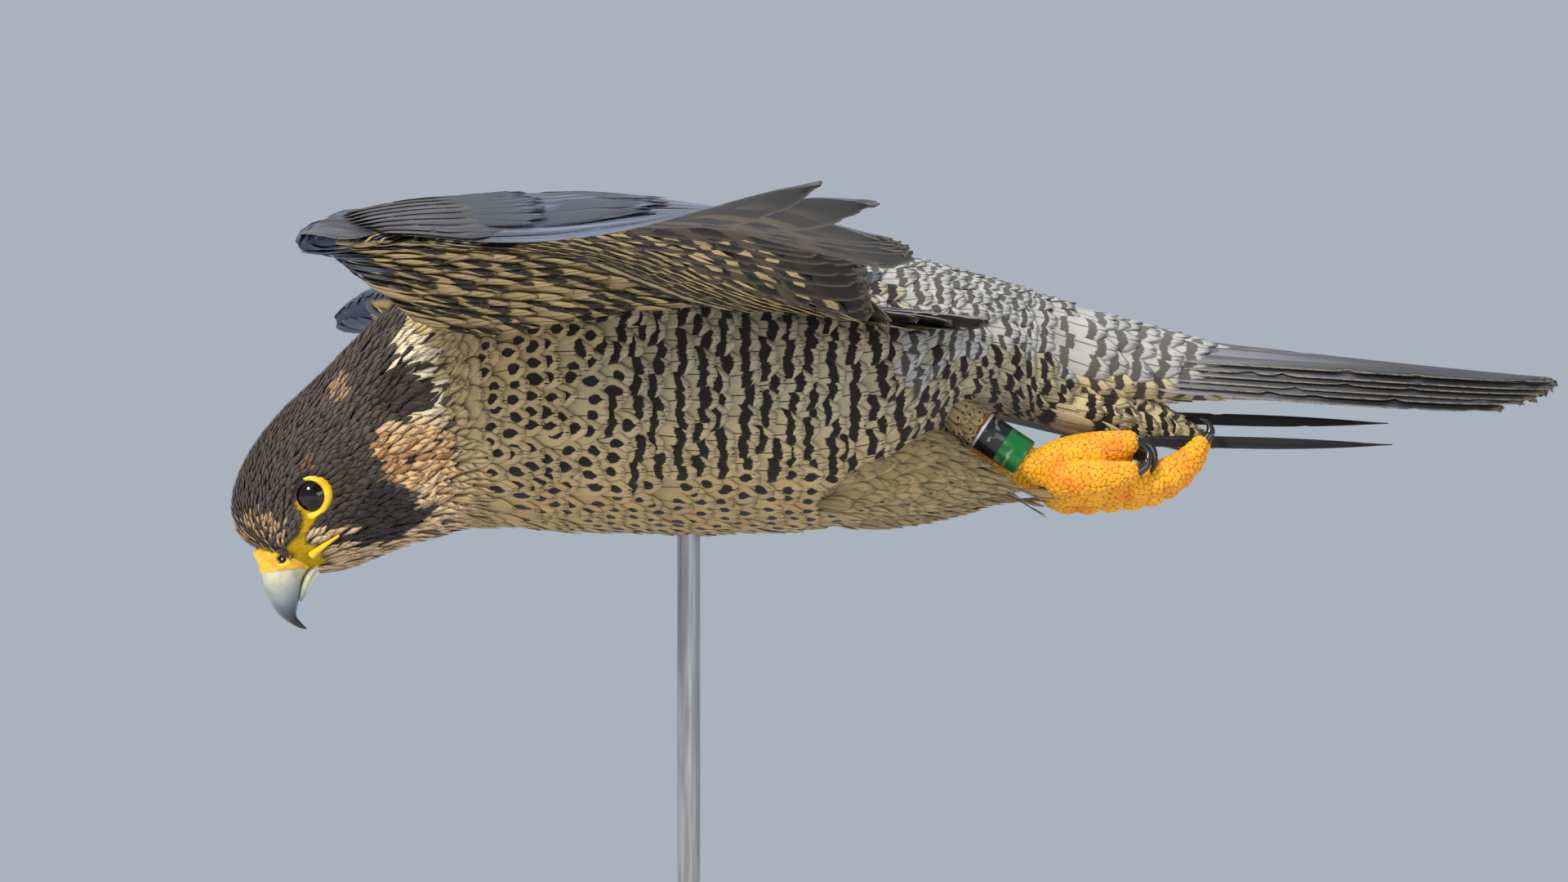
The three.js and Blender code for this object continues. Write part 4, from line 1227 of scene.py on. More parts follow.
rng = np.random.default_rng(21)
p, q = rows_of(trunk_form, 0.44, 0.995, torso_pitch, lambda p: torso_pitch(p) * 0.86, 22, on_torso)
order = np.argsort(-p, kind="stable")
p, q = p[order], q[order]
pitch = np.array([torso_pitch(v) for v in p])
torso_batch = lay_feathers(trunk_form, p, q, pitch * 2.5 * rng.uniform(0.93, 1.08, len(p)),
                           pitch * 1.5 * rng.uniform(0.95, 1.1, len(p)), rng.normal(0, 0.05, len(p)), 9, 7,
                           low=-1.2, rise=1.9, camber=0.035, teeth=0.055, thick=0.2, roundness=0.9, seed=23,
                           roll=rng.normal(0, 0.08, len(p)))
shown = torso_batch["points"][:, 5, 4]
torso_look, _ = body_look(shown, trunk_form.outward(p, q), rng)
torso_look["mark"][pitch < SMALL_PITCH, 1] *= 0.75
print("torso feathers", len(p))
is_near_belly = trunk_form.outward(p, q)[:, 2] < 0.5
for name, chosen in (("breast_feathers", is_near_belly), ("back_feathers", ~is_near_belly)):
    batch = {key: (value[chosen] if isinstance(value, np.ndarray) and len(value) == len(p) else value)
             for key, value in torso_batch.items()}
    batch["count"] = int(chosen.sum())
    feather_piece(name, [batch], [{key: value[chosen] for key, value in torso_look.items()}], plumage_finish)

# %% [markdown]
# The thigh's feathers are long, soft and narrow, plain buff with a few fine marks. They all stream back to
# the ankle, and there they end in loose points, the falcon's trousers.

# %% Thigh feathers
thigh_batches, thigh_looks = [], []
for side, form in thigh_forms.items():
    p, q = scatter(form, 2.3, 31 + side, None, (0.03, 0.97))
    rng = np.random.default_rng(33 + side)
    late = ease(0.55, 1.0, p)
    patch = 0.5 * (side > 0)
    thigh_batches.append(lay_feathers(form, p, q, mix(11, 17, late) * rng.uniform(0.8, 1.15, len(p)),
                                      mix(4.2, 2.2, late), rng.normal(0, 0.16, len(p)), 5, 6, low=-0.9,
                                      rise=mix(1.6, 1.2, late), camber=0.06, teeth=0.10, thick=0.16,
                                      roundness=1.4, seed=34 + side, bounds=(0, patch, 1, patch + 0.5)))
    n = len(p)
    look = plain_look(rng.uniform(0.72, 1.12, (n, 1)), THIGH_BUFF, INK, (0, 0, 0), 0.85)
    look["mark"][:, 1] = np.where(rng.random(n) < 0.10, 0.45, 0.0)
    look["mark"][:, 2] = np.where(rng.random(n) < 0.25, 0.03, 0.0)
    thigh_looks.append(look)
feather_piece("thigh_feathers", thigh_batches, thigh_looks, plumage_finish)

# %% [markdown]
# Under the tail the coverts are long, cream and boldly barred. Above it the rump's pale grey coverts carry
# dark chevrons, and they lengthen row by row until they lie over the roots of the tail feathers.

# %% Tail coverts
VENT_CREAM = srgb(214, 194, 148)
COVERT_GREY = srgb(120, 120, 122)
rng = np.random.default_rng(41)
p, q = rows_of(undertail_form, 0.0, 0.80, 6.5, 6.0, 42)
under_batch = lay_feathers(undertail_form, p, q, mix(20, 15, p) * rng.uniform(0.92, 1.08, len(p)),
                           mix(11, 8, p), rng.normal(0, 0.05, len(p)), 9, 8, low=-1.1, rise=1.7, camber=0.03,
                           teeth=0.06, thick=0.2, seed=43, bounds=(0, 0, 1, 0.3))
under_look = plain_look(rng.uniform(0.85, 1.08, (len(p), 1)), VENT_CREAM, INK, (1.9, 0.0, 0.03))
p, q = rows_of(tail_form, 0.0, 0.74, 7.5, 8.2, 44)
upper_batch = lay_feathers(tail_form, p, q, mix(27, 36, p) * rng.uniform(0.93, 1.07, len(p)), mix(15, 13, p),
                           rng.normal(0, 0.05, len(p)), 9, 9, low=-1.3, rise=2.0, camber=0.04, teeth=0.045,
                           thick=0.2, seed=45, bounds=(0, 0.3, 1, 1))
below = ease(-0.1, -0.45, tail_form.outward(p, q)[:, 2])[:, None]
grey = mix(np.array(RUMP)[None], np.array(COVERT_GREY)[None], ease(0.35, 0.75, p)[:, None])
ground = mix(grey, np.array(VENT_CREAM)[None], below)
upper_look = plain_look(rng.uniform(0.9, 1.08, (len(p), 1)), ground, RUMP_MARK, (2.4, 0, 0.035), 0.92)
upper_look["ink"][:, :3] = mix(np.array(RUMP_MARK)[None], np.array(INK)[None], below)
feather_piece("tail_coverts", [under_batch, upper_batch], [under_look, upper_look], plumage_finish)

# %% [markdown]
# A flight feather is stiff and flat, with a narrow outer web, a broad inner web and a tapering shaft that
# stands proud. Its upper side is slate and its under side brown, with pale bars across the inner web and
# worn pale edges. Its finish reads the same coordinates as the body feathers, with s running from the outer
# web's edge at 1 to the inner web's edge at -1.

# %% Flight feather finish
WORN_EDGE = srgb(196, 176, 142)
SHAFT_BROWN = srgb(48, 36, 27)


def flight(name):
    r = Recipe(name, 0.52, Specular_IOR_Level=0.35, Sheen_Weight=0.08, Sheen_Roughness=0.4)
    s, u, seed = r.numbers("vane")
    bars, strength, edge = r.numbers("mark")
    far = abs(s)
    shift = seed * 41.0
    barb = u - far * 0.08
    comb = r.noise(1.0, r.vector(barb * 130.0, s * 2.0, shift))
    streak = r.noise(1.0, r.vector(s * 5.0, u * 2.2, shift), detail=3)
    along = barb + (comb - 0.5) * 0.02 + (streak - 0.5) * 0.03
    barred = r.step(r.math("SINE", along * bars * TURN), 0.0, 0.55)
    inner_web = r.step(s, -0.12, -0.30) * r.step(s, -1.0, -0.86)
    barred = barred * inner_web * strength * r.step(u, 0.92, 0.72)
    lightness = 0.34 + r.step(streak, 0.28, 0.72) * 0.92 + (comb - 0.5) * 0.30
    lightness = lightness * (1.0 - r.step(u, 0.55, 0.95) * 0.5)
    base = r.blend(barred, r.shaded(r.stored("ground"), lightness), r.stored("ink"))
    outermost = r.math("MAXIMUM", r.step(far, 0.90, 0.985), r.step(u, 0.972, 0.992))
    base = r.blend(outermost * edge * r.step(comb, 0.25, 0.6), base, WORN_EDGE)
    shaft = 1.0 - r.step(far, 0.025, 0.06)
    r.colour(r.blend(shaft * 0.8, base, SHAFT_BROWN))
    r.relief(r.math("SINE", barb * (260 * TURN)) * 0.35 + comb, 0.0002, 0.5)
    return r.material


flight_finish = flight("flight_finish")
print("flight finish has", len(flight_finish.node_tree.nodes), "nodes")

# %% [markdown]
# The blades themselves follow the plan and the arch of the wing. Each is a closed form with its own top and
# under sides, thin at the edges and thicker along the shaft. A few seeded splits open its webs, as wear
# does.

# %% One flight feather
VANE_COLUMNS = 11
VANE_ROWS = 66
VANE_HALF = 0.26  # half the thickness of the webs, in millimetres
SPLIT_HALF = 0.018  # half the length of a split, as a share of the feather


def long_share(u, pointed):
    quill = np.minimum(1, 0.35 + 2.6 * u)
    start = 0.56 if pointed else 0.8
    tip = np.clip(1 - np.clip((u - start) / (1.0001 - start), 0, 1) ** 2, 0, 1) ** (1.0 if pointed else 0.5)
    return quill * np.where(u < start, 1, tip)


def split_depth(u, rng, count, reach):
    """How far in, as a share of the web, the edge is split at u."""
    depth = np.zeros_like(u)
    for _ in range(count):
        centre = rng.uniform(0.35, 0.98)
        opening = rng.uniform(0.3, 1.0) * reach * np.clip(1 - np.abs(u - centre) / SPLIT_HALF, 0, 1)
        depth = np.maximum(depth, opening)
    return depth


def long_feather(place, width, outer_share, pointed, rng, splits=3, half=VANE_HALF):
    """Grid of a closed blade. place(u, off) gives a point, off millimetres towards the outer web."""
    u = np.linspace(0, 1, VANE_ROWS)[:, None]
    s = np.linspace(-1, 1, VANE_COLUMNS)[None]
    share = np.maximum(0.03, long_share(u, pointed)) * width
    web = np.where(s > 0, outer_share, 1 - outer_share)
    cut = np.where(s > 0, split_depth(u, rng, splits, 0.35), split_depth(u, rng, splits, 0.30))
    frayed = 1 - cut * np.abs(s) ** 3
    tooth = 0.012 * np.where(np.arange(VANE_COLUMNS) % 2 == 0, 1, -1)[None]
    along = u + tooth * rng.uniform(0, 1, (1, VANE_COLUMNS)) * u**12
    off = s * web * share * frayed
    middle = place(along, off)
    across = unit(np.gradient(middle, axis=1))
    ahead = unit(np.gradient(middle, axis=0))
    out = unit(np.cross(ahead, across))
    out = out * np.sign(out[..., 2:].mean())
    shaft = np.exp(-((s / 0.10) ** 2)) * mix(1.25, 0.18, u**0.8)
    vault = 0.05 * width * (1 - np.abs(s) ** 1.6) * np.minimum(1, u * 6)
    thick = half * (1 - 0.55 * np.abs(s) ** 2)
    top = middle + out * (thick + 0.5 * shaft + vault)[..., None]
    low = middle - out * (thick + 0.45 * shaft - vault)[..., None]
    ring = np.concatenate([top, low[:, ::-1]], 1)
    s_ring = np.concatenate([s, s[:, ::-1]], 1) + 0 * u
    vane = np.stack([s_ring, u + 0 * s_ring, np.full(s_ring.shape, rng.random())], -1)
    return ring, vane


def long_feather_piece(name, feathers, material, replaced=()):
    """Joins long feathers. Each has its ring grid, vane values and looks for its top and under side."""
    points, values, unwrap = [], {"vane": [], "ground": [], "ink": [], "mark": []}, []
    cell = 1.0 / math.ceil(math.sqrt(len(feathers)))
    for k, (ring, vane, look) in enumerate(feathers):
        points.append(room(ring.reshape(-1, 3)))
        values["vane"].append(vane.reshape(-1, 3))
        rows, sides = ring.shape[:2]
        is_top = np.broadcast_to(np.arange(sides) < sides // 2, (rows, sides))[..., None]
        for key in ("ground", "ink", "mark"):
            top, under = look[key]
            values[key].append(np.where(is_top, top, under).reshape(-1, np.shape(top)[-1]))
        column, row = k % round(1 / cell), k // round(1 / cell)
        across = np.where(is_top[..., 0], 0.25, 0.75) + 0.22 * vane[..., 0]
        patch = np.stack([column + across, row + 0.03 + 0.94 * vane[..., 1]], -1) * cell
        unwrap.append(patch.reshape(-1, 2))
    rows, sides = feathers[0][0].shape[:2]
    piece = mesh_piece(name, np.concatenate(points), tube_quads(rows, sides, len(feathers)),
                       cap_tris(rows, sides, len(feathers)),
                       {key: np.concatenate(value) for key, value in values.items()}, np.concatenate(unwrap))
    return finish_piece(piece, material, replaced)


print("a flight feather has", 2 * 2 * VANE_COLUMNS * (VANE_ROWS - 1), "triangles")

# %% [markdown]
# Now the wing itself. Ten primaries fan from the hand, twelve secondaries and tertials from the arm.

# %% Flight feathers
OUTER_WIDTH = 26.0
INNER_WIDTH = 38.0
SECONDARY_WIDTH = 32.0
UPPER_GROUND = (*srgb(104, 116, 138), 1)
TERTIAL_GROUND = (*srgb(160, 150, 136), 1)
UNDER_GROUND = (*srgb(60, 46, 35), 1)
UNDER_BAR = (*srgb(138, 114, 80), 1)
UPPER_BAR = (*srgb(74, 68, 70), 1)


POINTED = 5  # primaries with a narrow point, counted from the outermost


def wing_flight_feathers(key):
    wing = WINGS[key]
    rng = np.random.default_rng(51 if key == "left" else 52)
    made = []
    for index in range(FEATHERS):
        root, tip = whole_feather(wing, index)
        primary = index < PRIMARIES
        width = mix(OUTER_WIDTH, INNER_WIDTH, min(1, index / 4)) if primary else SECONDARY_WIDTH
        lean = mix(0.68, 0.55, index / 9) if primary else 0.5
        along = tip - root
        across = np.array([-along[1], along[0]]) / np.linalg.norm(along)
        wobble = rng.normal(0, 0.35)

        def place(u, off, root=root, along=along, across=across, index=index, wobble=wobble):
            flat = root + along * u[..., None] + across * off[..., None]
            x, out = flat[..., 0], flat[..., 1]
            z = wing_height(wing, x, out) + VANE_STACK * index + off * VANE_TILT
            return np.stack([x, wing["side"] * out, z + wobble * u], -1)

        tertial = ease(17, 20, index)
        pointed = index < POINTED
        ring, vane = long_feather(place, width, 1 - lean, pointed, rng, 4 if primary else 3)
        upper = mix(np.array(UPPER_GROUND), np.array(TERTIAL_GROUND), 0.55 * float(tertial))
        look = {"ground": (upper * rng.uniform(0.85, 1.1), np.array(UNDER_GROUND) * rng.uniform(0.8, 1.15)),
                "ink": (np.array(UPPER_BAR), np.array(UNDER_BAR)),
                "mark": (np.array([mix(11, 7, float(tertial)), 0.35, mix(0.12, 0.7, float(tertial))]),
                         np.array([9.0, 0.5, 0.25]))}
        made.append((ring, vane, look))
    return made


for key in WINGS:
    long_feather_piece("flight_feathers_" + key, wing_flight_feathers(key), flight_finish,
                       ("wing_" + key,))

# %% [markdown]
# Two sets of stiff coverts stay apart from the soft ones. One greater covert lies over each primary, and
# the alula, a fan of four short feathers, lies over the wrist and smooths its nose. Both have the blade of
# a flight feather in a brown grey, and the first feather of the alula is the most worn. The coverts follow
# the primaries, and the alula's height is found by draping it over the flesh of the wing.

# %% Stiff coverts of the hand
ALULA = 4
COVERT_BROWN = (*srgb(84, 84, 94), 1)


def draped(form, x, out):
    """Height of the upper face of a wing's flesh at places in plan, as a soft mean of the nearest points."""
    top = form.grid[:, : form.cols // 2].reshape(-1, 3)
    gap = (x[..., None] - top[:, 0]) ** 2 + (out[..., None] - np.abs(top[:, 1])) ** 2
    weight = np.exp(-(gap - gap.min(-1, keepdims=True)) / 16)
    return (weight * top[:, 2]).sum(-1) / weight.sum(-1)


def stiff_coverts(key):
    wing = WINGS[key]
    rng = np.random.default_rng(55)
    made = []
    way = bearing(wing["sweep"])
    inward = np.array([way[1], -way[0]])
    for index in range(PRIMARIES):
        root, tip = whole_feather(wing, index)
        along = unit(tip - root) * mix(84, 58, index / 9)
        across = np.array([-along[1], along[0]]) / np.linalg.norm(along)

        def place(u, off, root=root, along=along, across=across, index=index):
            flat = root + along * (u[..., None] - 0.04) + across * off[..., None]
            z = wing_height(wing, flat[..., 0], flat[..., 1]) + VANE_STACK * index + off * VANE_TILT
            return np.stack([flat[..., 0], wing["side"] * flat[..., 1], z + 2.0 - 0.8 * u], -1)

        made.append((place, 26, 0.1))
    for k in range(ALULA):
        root = WRIST + way * (4 + k) + inward * (1 + 7 * k)
        tip = WRIST + way * (60 - 8 * k) + inward * (1 + 14 * k)
        across = np.array([-(tip - root)[1], (tip - root)[0]]) / np.linalg.norm(tip - root)

        def place(u, off, root=root, tip=tip, across=across, k=k):
            flat = root + (tip - root) * u[..., None] + across * off[..., None]
            x, out = flat[..., 0], flat[..., 1]
            blade = wing_height(wing, x, out) + VANE_STACK * index_at(out) + 1.4
            z = np.maximum(draped(wing_forms[key], x, out), blade) + 0.5 + 0.25 * k
            return np.stack([x, wing["side"] * out, z], -1)

        made.append((place, 23, 0.35 if k == 0 else 0.05))
    feathers = []
    for place, width, worn in made:
        ring, vane = long_feather(place, width, 0.46, False, rng, 1)
        look = {"ground": (np.array(COVERT_BROWN) * rng.uniform(0.9, 1.1), np.array(UNDER_GROUND)),
                "ink": (np.array(UPPER_BAR), np.array(UNDER_BAR)),
                "mark": (np.array([0, 0, worn]), np.array([4.0, 0.5, 0.2]))}
        feathers.append((ring, vane, look))
    return feathers


for key in WINGS:
    long_feather_piece("stiff_coverts_" + key, stiff_coverts(key), flight_finish)

# %% [markdown]
# Coverts lie in tiers over the roots of the flight feathers, above and below. A tier is easiest to lay on a
# sheet that follows the flight feathers: p runs from their roots to their tips and q from the outermost one
# inwards. One such sheet lies over each wing and one under it.

# %% Wing sheets
SHEET_ROWS = 90
SHEET_COLUMNS = 140


def wing_sheet(wing, face, lift):
    p = np.linspace(-0.12, 1, SHEET_ROWS)[:, None]
    f = np.linspace(0, FEATHERS - 1, SHEET_COLUMNS)[None]
    root, tip = feather_line(wing, f + 0 * p)
    lead = mix(-110, WRIST[0] - 3, np.clip((root[..., 1] - 36) / (WRIST[1] - 36), 0, 1) ** 0.8)
    space = np.where(f < PRIMARIES - 0.5, 8.0, np.maximum(8, root[..., 0] - lead - 3))
    start = np.minimum(1, space / (0.12 * np.linalg.norm(tip - root, axis=-1)))
    flat = root + (tip - root) * np.where(p < 0, p * start, p)[..., None]
    z = wing_height(wing, flat[..., 0], flat[..., 1]) + VANE_STACK * f + face * lift
    form = Surface(np.stack([flat[..., 0], wing["side"] * flat[..., 1], z], -1), round_closed=False)
    form.out = form.out * np.sign(form.out[..., 2].mean()) * face
    return form


def sheet_p(share):
    return (share + 0.12) / 1.12


def tier(form, share, length, width, spacing, seed, f_range, low, rise):
    """One row of coverts rooted at a share of the way down the flight feathers."""
    rng = np.random.default_rng(seed)
    q_fine = np.linspace(f_range[0], f_range[1], 200)
    per_q = form.scale(np.full(200, sheet_p(share)), q_fine)[1]
    run = np.cumsum(per_q) / 200 * (f_range[1] - f_range[0])
    count = max(3, int(run[-1] / spacing))
    q = np.interp((np.arange(count) + 0.5) / count * run[-1], run, q_fine)
    q = np.clip(q + rng.normal(0, 0.12, count) / count, 0, 1)
    per_p = form.scale(np.full(count, 0.5), q)[0]
    p = np.full(count, sheet_p(share)) + rng.normal(0, 0.8, count) / per_p
    order = np.argsort(q)
    return lay_feathers(form, p[order], q[order], length * rng.uniform(0.97, 1.03, count),
                        width * rng.uniform(0.95, 1.05, count), 0.0, 7, 7, low, rise, 0.03, 0.05, 0.2, 1.0,
                        seed + 1, roll=0.25)


UPPER_COVERT = srgb(86, 98, 120)
UPPER_COVERT_EDGE = srgb(52, 58, 72)
UNDER_COVERT = srgb(222, 190, 130)
UNDER_INK = srgb(40, 28, 20)


print("wing sheets are", SHEET_ROWS, "by", SHEET_COLUMNS)

# %% [markdown]
# Above, the coverts are slate, each with one soft dark bar. Small ones wrap round the front edge, and a few
# of those at the very edge are cream. Below they are buff with broad dark bars at an even distance. The
# small ones at the front edge are marked by place, in a staggered pattern, so that the marks stand apart as
# dark spots do on the bird. At the wrist's nose they are slate.

# %% Coverts of both wings
UPPER_TIERS = [
    # share, length, width, spacing, seed, from and to along the wing
    (-0.02, 74, 22, 9.5, 62, 0.44, 1.0), (-0.05, 40, 15, 8.0, 63, 0.0, 0.44),
    (-0.04, 50, 18, 8.5, 64, 0.44, 1.0), (-0.08, 27, 11, 6.0, 65, 0.0, 1.0),
]
UNDER_TIERS = [
    (0.46, 46, 27, 13.0, 71, 0.48, 1.0), (0.33, 42, 26, 12.5, 72, 0.42, 1.0),
    (0.21, 38, 24, 11.5, 73, 0.30, 1.0), (0.11, 34, 22, 9.5, 74, 0.0, 1.0),
    (0.07, 30, 19, 8.5, 78, 0.0, 1.0), (0.03, 28, 18, 8.0, 75, 0.0, 1.0),
    (-0.02, 24, 15, 6.5, 79, 0.0, 1.0), (-0.06, 21, 14, 6.0, 76, 0.0, 1.0),
    (-0.10, 18, 12, 5.5, 77, 0.0, 1.0),
]
UNDER_BAR_SPACING = 11.5  # millimetres from one dark bar of an under covert to the next
MARK_PITCH = (10.0, 12.0)  # millimetres along and out from one dark mark of the lining to the next
MARK_SHARE = 0.52  # of the lining's small coverts that are marked
REAR_MARGIN = 13.0  # a small covert rooted closer to the flesh's rear edge would wrap round it
REAR_SHARE = 0.175  # the same margin on the thin hand, as a share of the girth
DOTS_END = -120  # x at the wrist's nose where the cream dots of the front edge end
NOSE_SLATE = -128  # x ahead of which the lining's small coverts are slate


def edge_coverts(key, face, seed):
    """Small coverts wrapped round the front of the wing, above or below."""
    form = wing_forms[key]
    p, q = scatter(form, 3.4 if face > 0 else 5.2, seed, None, (0.10 if face > 0 else 0.01, 0.995))
    upper_half = q < 0.5
    around = form.scale(p, q)[1]
    chosen = upper_half if face > 0 else ~upper_half
    chosen &= np.abs(q - 0.5) * around > np.minimum(REAR_MARGIN, REAR_SHARE * around)
    p, q = p[chosen], q[chosen]
    rng = np.random.default_rng(seed + 1)
    late = ease(0.0, 0.5, np.minimum(q, 1 - q))
    fan = mix(math.radians(62), math.radians(84), late)
    heading = face * fan + rng.normal(0, 0.12, len(p))
    length = mix(8.5, 17, late) if face > 0 else mix(9.5, 15, late)
    width = mix(5.0, 9.5, late) if face > 0 else mix(6.5, 10.5, late)
    batch = lay_feathers(form, p, q, length * rng.uniform(0.85, 1.15, len(p)), width, heading, 5, 6,
                         low=-0.5, rise=1.3, camber=0.04, seed=seed + 2)
    return batch, late, rng


def wing_coverts(key):
    wing = WINGS[key]
    upper, under = wing_sheet(wing, 1, 1.6), wing_sheet(wing, -1, 1.4)
    above, above_looks, below, below_looks = [], [], [], []
    for rank, (share, length, width, spacing, seed, start, end) in enumerate(UPPER_TIERS):
        batch = tier(upper, share, length, width, spacing, seed, (start, end), 0.2 + 0.35 * rank, 1.2)
        rng = np.random.default_rng(seed)
        above.append(batch)
        above_looks.append(covert_look(batch["count"], UPPER_COVERT, UPPER_COVERT_EDGE, (0.9, 0, 0.03), rng))
    for rank, (share, length, width, spacing, seed, start, end) in enumerate(UNDER_TIERS):
        batch = tier(under, share, length, width, spacing, seed, (start, end), 0.1 + 0.30 * rank, 1.1)
        rng = np.random.default_rng(seed)
        look = covert_look(batch["count"], UNDER_COVERT, UNDER_INK, (0, 0, 0.03), rng, 0.14)
        look["mark"][:, 0] = length / UNDER_BAR_SPACING
        below.append(batch)
        below_looks.append(look)
    batch, late, rng = edge_coverts(key, 1, 81 if key == "left" else 84)
    above.append(batch)
    look = covert_look(batch["count"], UPPER_COVERT, UPPER_COVERT_EDGE, (0, 0.3, 0.0), rng, 0.12)
    dotted = (late < 0.10) & (rng.random(batch["count"]) < 0.4) & (batch["points"][:, 0, 0, 0] > DOTS_END)
    look["ground"][dotted, :3] = UNDER_COVERT
    look["mark"][dotted] = 0
    above_looks.append(look)
    batch, late, rng = edge_coverts(key, -1, 87 if key == "left" else 90)
    look = covert_look(batch["count"], UNDER_COVERT, UNDER_INK, (1.3, 0, 0.06), rng, 0.16)
    tips = batch["points"][:, -1, 2]
    along, out = tips[:, 0] / MARK_PITCH[0], np.abs(tips[:, 1]) / MARK_PITCH[1]
    marked = (along + 0.5 * np.floor(out) + 0.15 * np.sin(5 * out)) % 1.0 < MARK_SHARE
    look["mark"][:, 0] = np.where(marked, 1.0, 0)
    at_nose = (batch["points"][:, 0, 0, 0] < NOSE_SLATE) & (late < 0.25)
    look["ground"][at_nose, :3] = UPPER_COVERT
    look["mark"][at_nose] = 0
    below.append(batch)
    below_looks.append(look)
    feather_piece("upper_coverts_" + key, above, above_looks, plumage_finish)
    feather_piece("under_coverts_" + key, below, below_looks, underwing_finish)


for key in WINGS:
    wing_coverts(key)

# %% [markdown]
# Twelve tail feathers close over each other like a fan that is shut, the middle pair on top. They are grey
# at the root and blue-black towards the tip, faintly barred, with worn pale edges and tips. Two growing
# outer feathers hang below the rest as slim dark spikes.

# %% Tail feathers
TAIL_LENGTH = 176.0
TAIL_PAIRS = 6
TAIL_WIDTH = 22.0
TAIL_STACK = 0.86
TAIL_GREY = np.array((*srgb(132, 132, 136), 1))
TAIL_DARK = np.array((*srgb(38, 40, 50), 1))
TAIL_UNDER = np.array((*srgb(96, 88, 78), 1))


def tail_vanes():
    rng = np.random.default_rng(101)
    made = []
    start = 22
    for pair in range(TAIL_PAIRS):
        for side in (-1, 1):
            length = TAIL_LENGTH + 14 - start - 0.75 * pair * pair + rng.normal(0, 1.0)
            layer = -TAIL_STACK * (2 * pair + (side > 0))
            width = TAIL_WIDTH * rng.uniform(0.97, 1.03)
            sag = rng.normal(0, 0.4)

            def place(u, off, side=side, pair=pair, length=length, layer=layer, sag=sag):
                w = side * mix(1 + 1.5 * pair, 2 + 2.9 * pair, u) + side * off
                return tail_point(start + length * u, w, layer - 0.003 * w * w + 5.5 + sag * u)

            outer = mix(0.5, 0.36, pair / 5)
            ring, vane = long_feather(place, width, outer, False, rng, 3)
            shade = mix(TAIL_GREY, TAIL_DARK, np.clip(vane[..., 1:2] * 1.9 - 0.3, 0, 1))
            look = {"ground": (shade, mix(TAIL_UNDER, TAIL_DARK, 0.6) + 0 * shade),
                    "ink": (TAIL_DARK + 0 * shade, np.array(UNDER_BAR) + 0 * shade),
                    "mark": (np.array([13.0, 0.6, 0.4]), np.array([13.0, 0.3, 0.4]))}
            made.append((ring, vane, look))
    for side, low in ((-1, -13.6), (1, -4.2)):

        def place(u, off, side=side, low=low):
            x = 112 + 113 * u
            return np.stack([x, side * mix(6, 11, u) + 0.35 * off, mix(low + 3, low, u) + 0.9 * off], -1)

        ring, vane = long_feather(place, 4.6, 0.4, True, rng, 1, 0.3)
        dark = np.array((*srgb(40, 37, 38), 1))
        look = {"ground": (dark, dark), "ink": (dark, dark), "mark": (np.zeros(3), np.zeros(3))}
        made.append((ring, vane, look))
    return made


long_feather_piece("tail_feathers", tail_vanes(), flight_finish, ("tail",))

# %% [markdown]
# The bill is horn over bone: cream-grey at its base, blue-grey along it and black at the hook. A soft
# yellow cere wraps its root and holds the nostril, a round hole with a small post in it that steadies the
# air in a stoop. Upper and lower halves are lofted like the trunk, finely enough that the hook stays
# smooth.

# %% Bill forms
BILL_UPPER = np.array([
    (-162.5, -48, -138.5, -46, 9.5, 0.5),
    (-165.5, -50, -137.5, -47.3, 10.6, 0.5),
    (-164, -53.5, -141.5, -51.8, 10, 0.5),
    (-163, -57.5, -145.5, -55.5, 9, 0.5),
    (-162.2, -62, -148.4, -58.8, 7.7, 0.5),
    (-160.3, -66.8, -149.4, -63, 6.2, 0.5),
    (-157.4, -71, -150.4, -67.4, 4.6, 0.5),
    (-154, -73.8, -151, -71.6, 3, 0.5),
    (-150.4, -75.8, -149.2, -74.2, 1.5, 0.5),
    (-147.6, -76.4, -147.4, -76, 0.4, 0.5),
], float)
BILL_LOWER = np.array([
    (-138.5, -49.5, -141, -56.8, 8.6, 0.5),
    (-142.4, -53.2, -143, -59.2, 7.6, 0.5),
    (-146.2, -57.6, -145, -62.6, 6, 0.5),
    (-148.2, -61.8, -146.8, -66.4, 4.2, 0.5),
    (-149.2, -66, -148.8, -68.4, 1.6, 0.5),
], float)
LOWER_LIFT = np.array([-0.9, 0, 1.3])  # closes the lower half against the upper one
NOSTRIL = np.array([-155.6, 9.2, -52.8])
NOSTRIL_RADIUS = 1.7
CERE_EDGE = 0.33  # share of the bill's length that the cere covers
BILL_RINGS = 150
BILL_SIDES = 160


def bill_upper_points():
    grid = loft(BILL_UPPER, BILL_RINGS, BILL_SIDES)
    form = Surface(grid)
    t = np.linspace(0, 1, BILL_RINGS)[:, None] + 0 * grid[..., 0]
    # the cere stands a little proud of the horn and swells round each nostril
    swell = 0.55 * ease(CERE_EDGE + 0.015, CERE_EDGE - 0.012, t)
    mirrored = np.stack([grid[..., 0], np.abs(grid[..., 1]), grid[..., 2]], -1)
    near = np.linalg.norm((mirrored - NOSTRIL) * np.array([1, 0.35, 1]), axis=-1)
    swell += 0.55 * np.exp(-(((near - 2.5) / 0.9) ** 2))
    swell -= 2.6 * ease(NOSTRIL_RADIUS, NOSTRIL_RADIUS - 0.45, near)
    swell += 2.2 * ease(0.75, 0.45, near)
    return grid + form.out * swell[..., None], t


upper_grid, upper_t = bill_upper_points()
lower_grid = loft(BILL_LOWER, 60, 96) + LOWER_LIFT
print("bill upper", upper_grid.shape[:2], "lower", lower_grid.shape[:2])

# %% [markdown]
# The horn's colour runs along the bill, so it is stored on the points as a plain share, 0 at the root and 1
# at the tip. The material turns that share into cere, pale horn, blue-grey and black, with fine growth
# streaks.

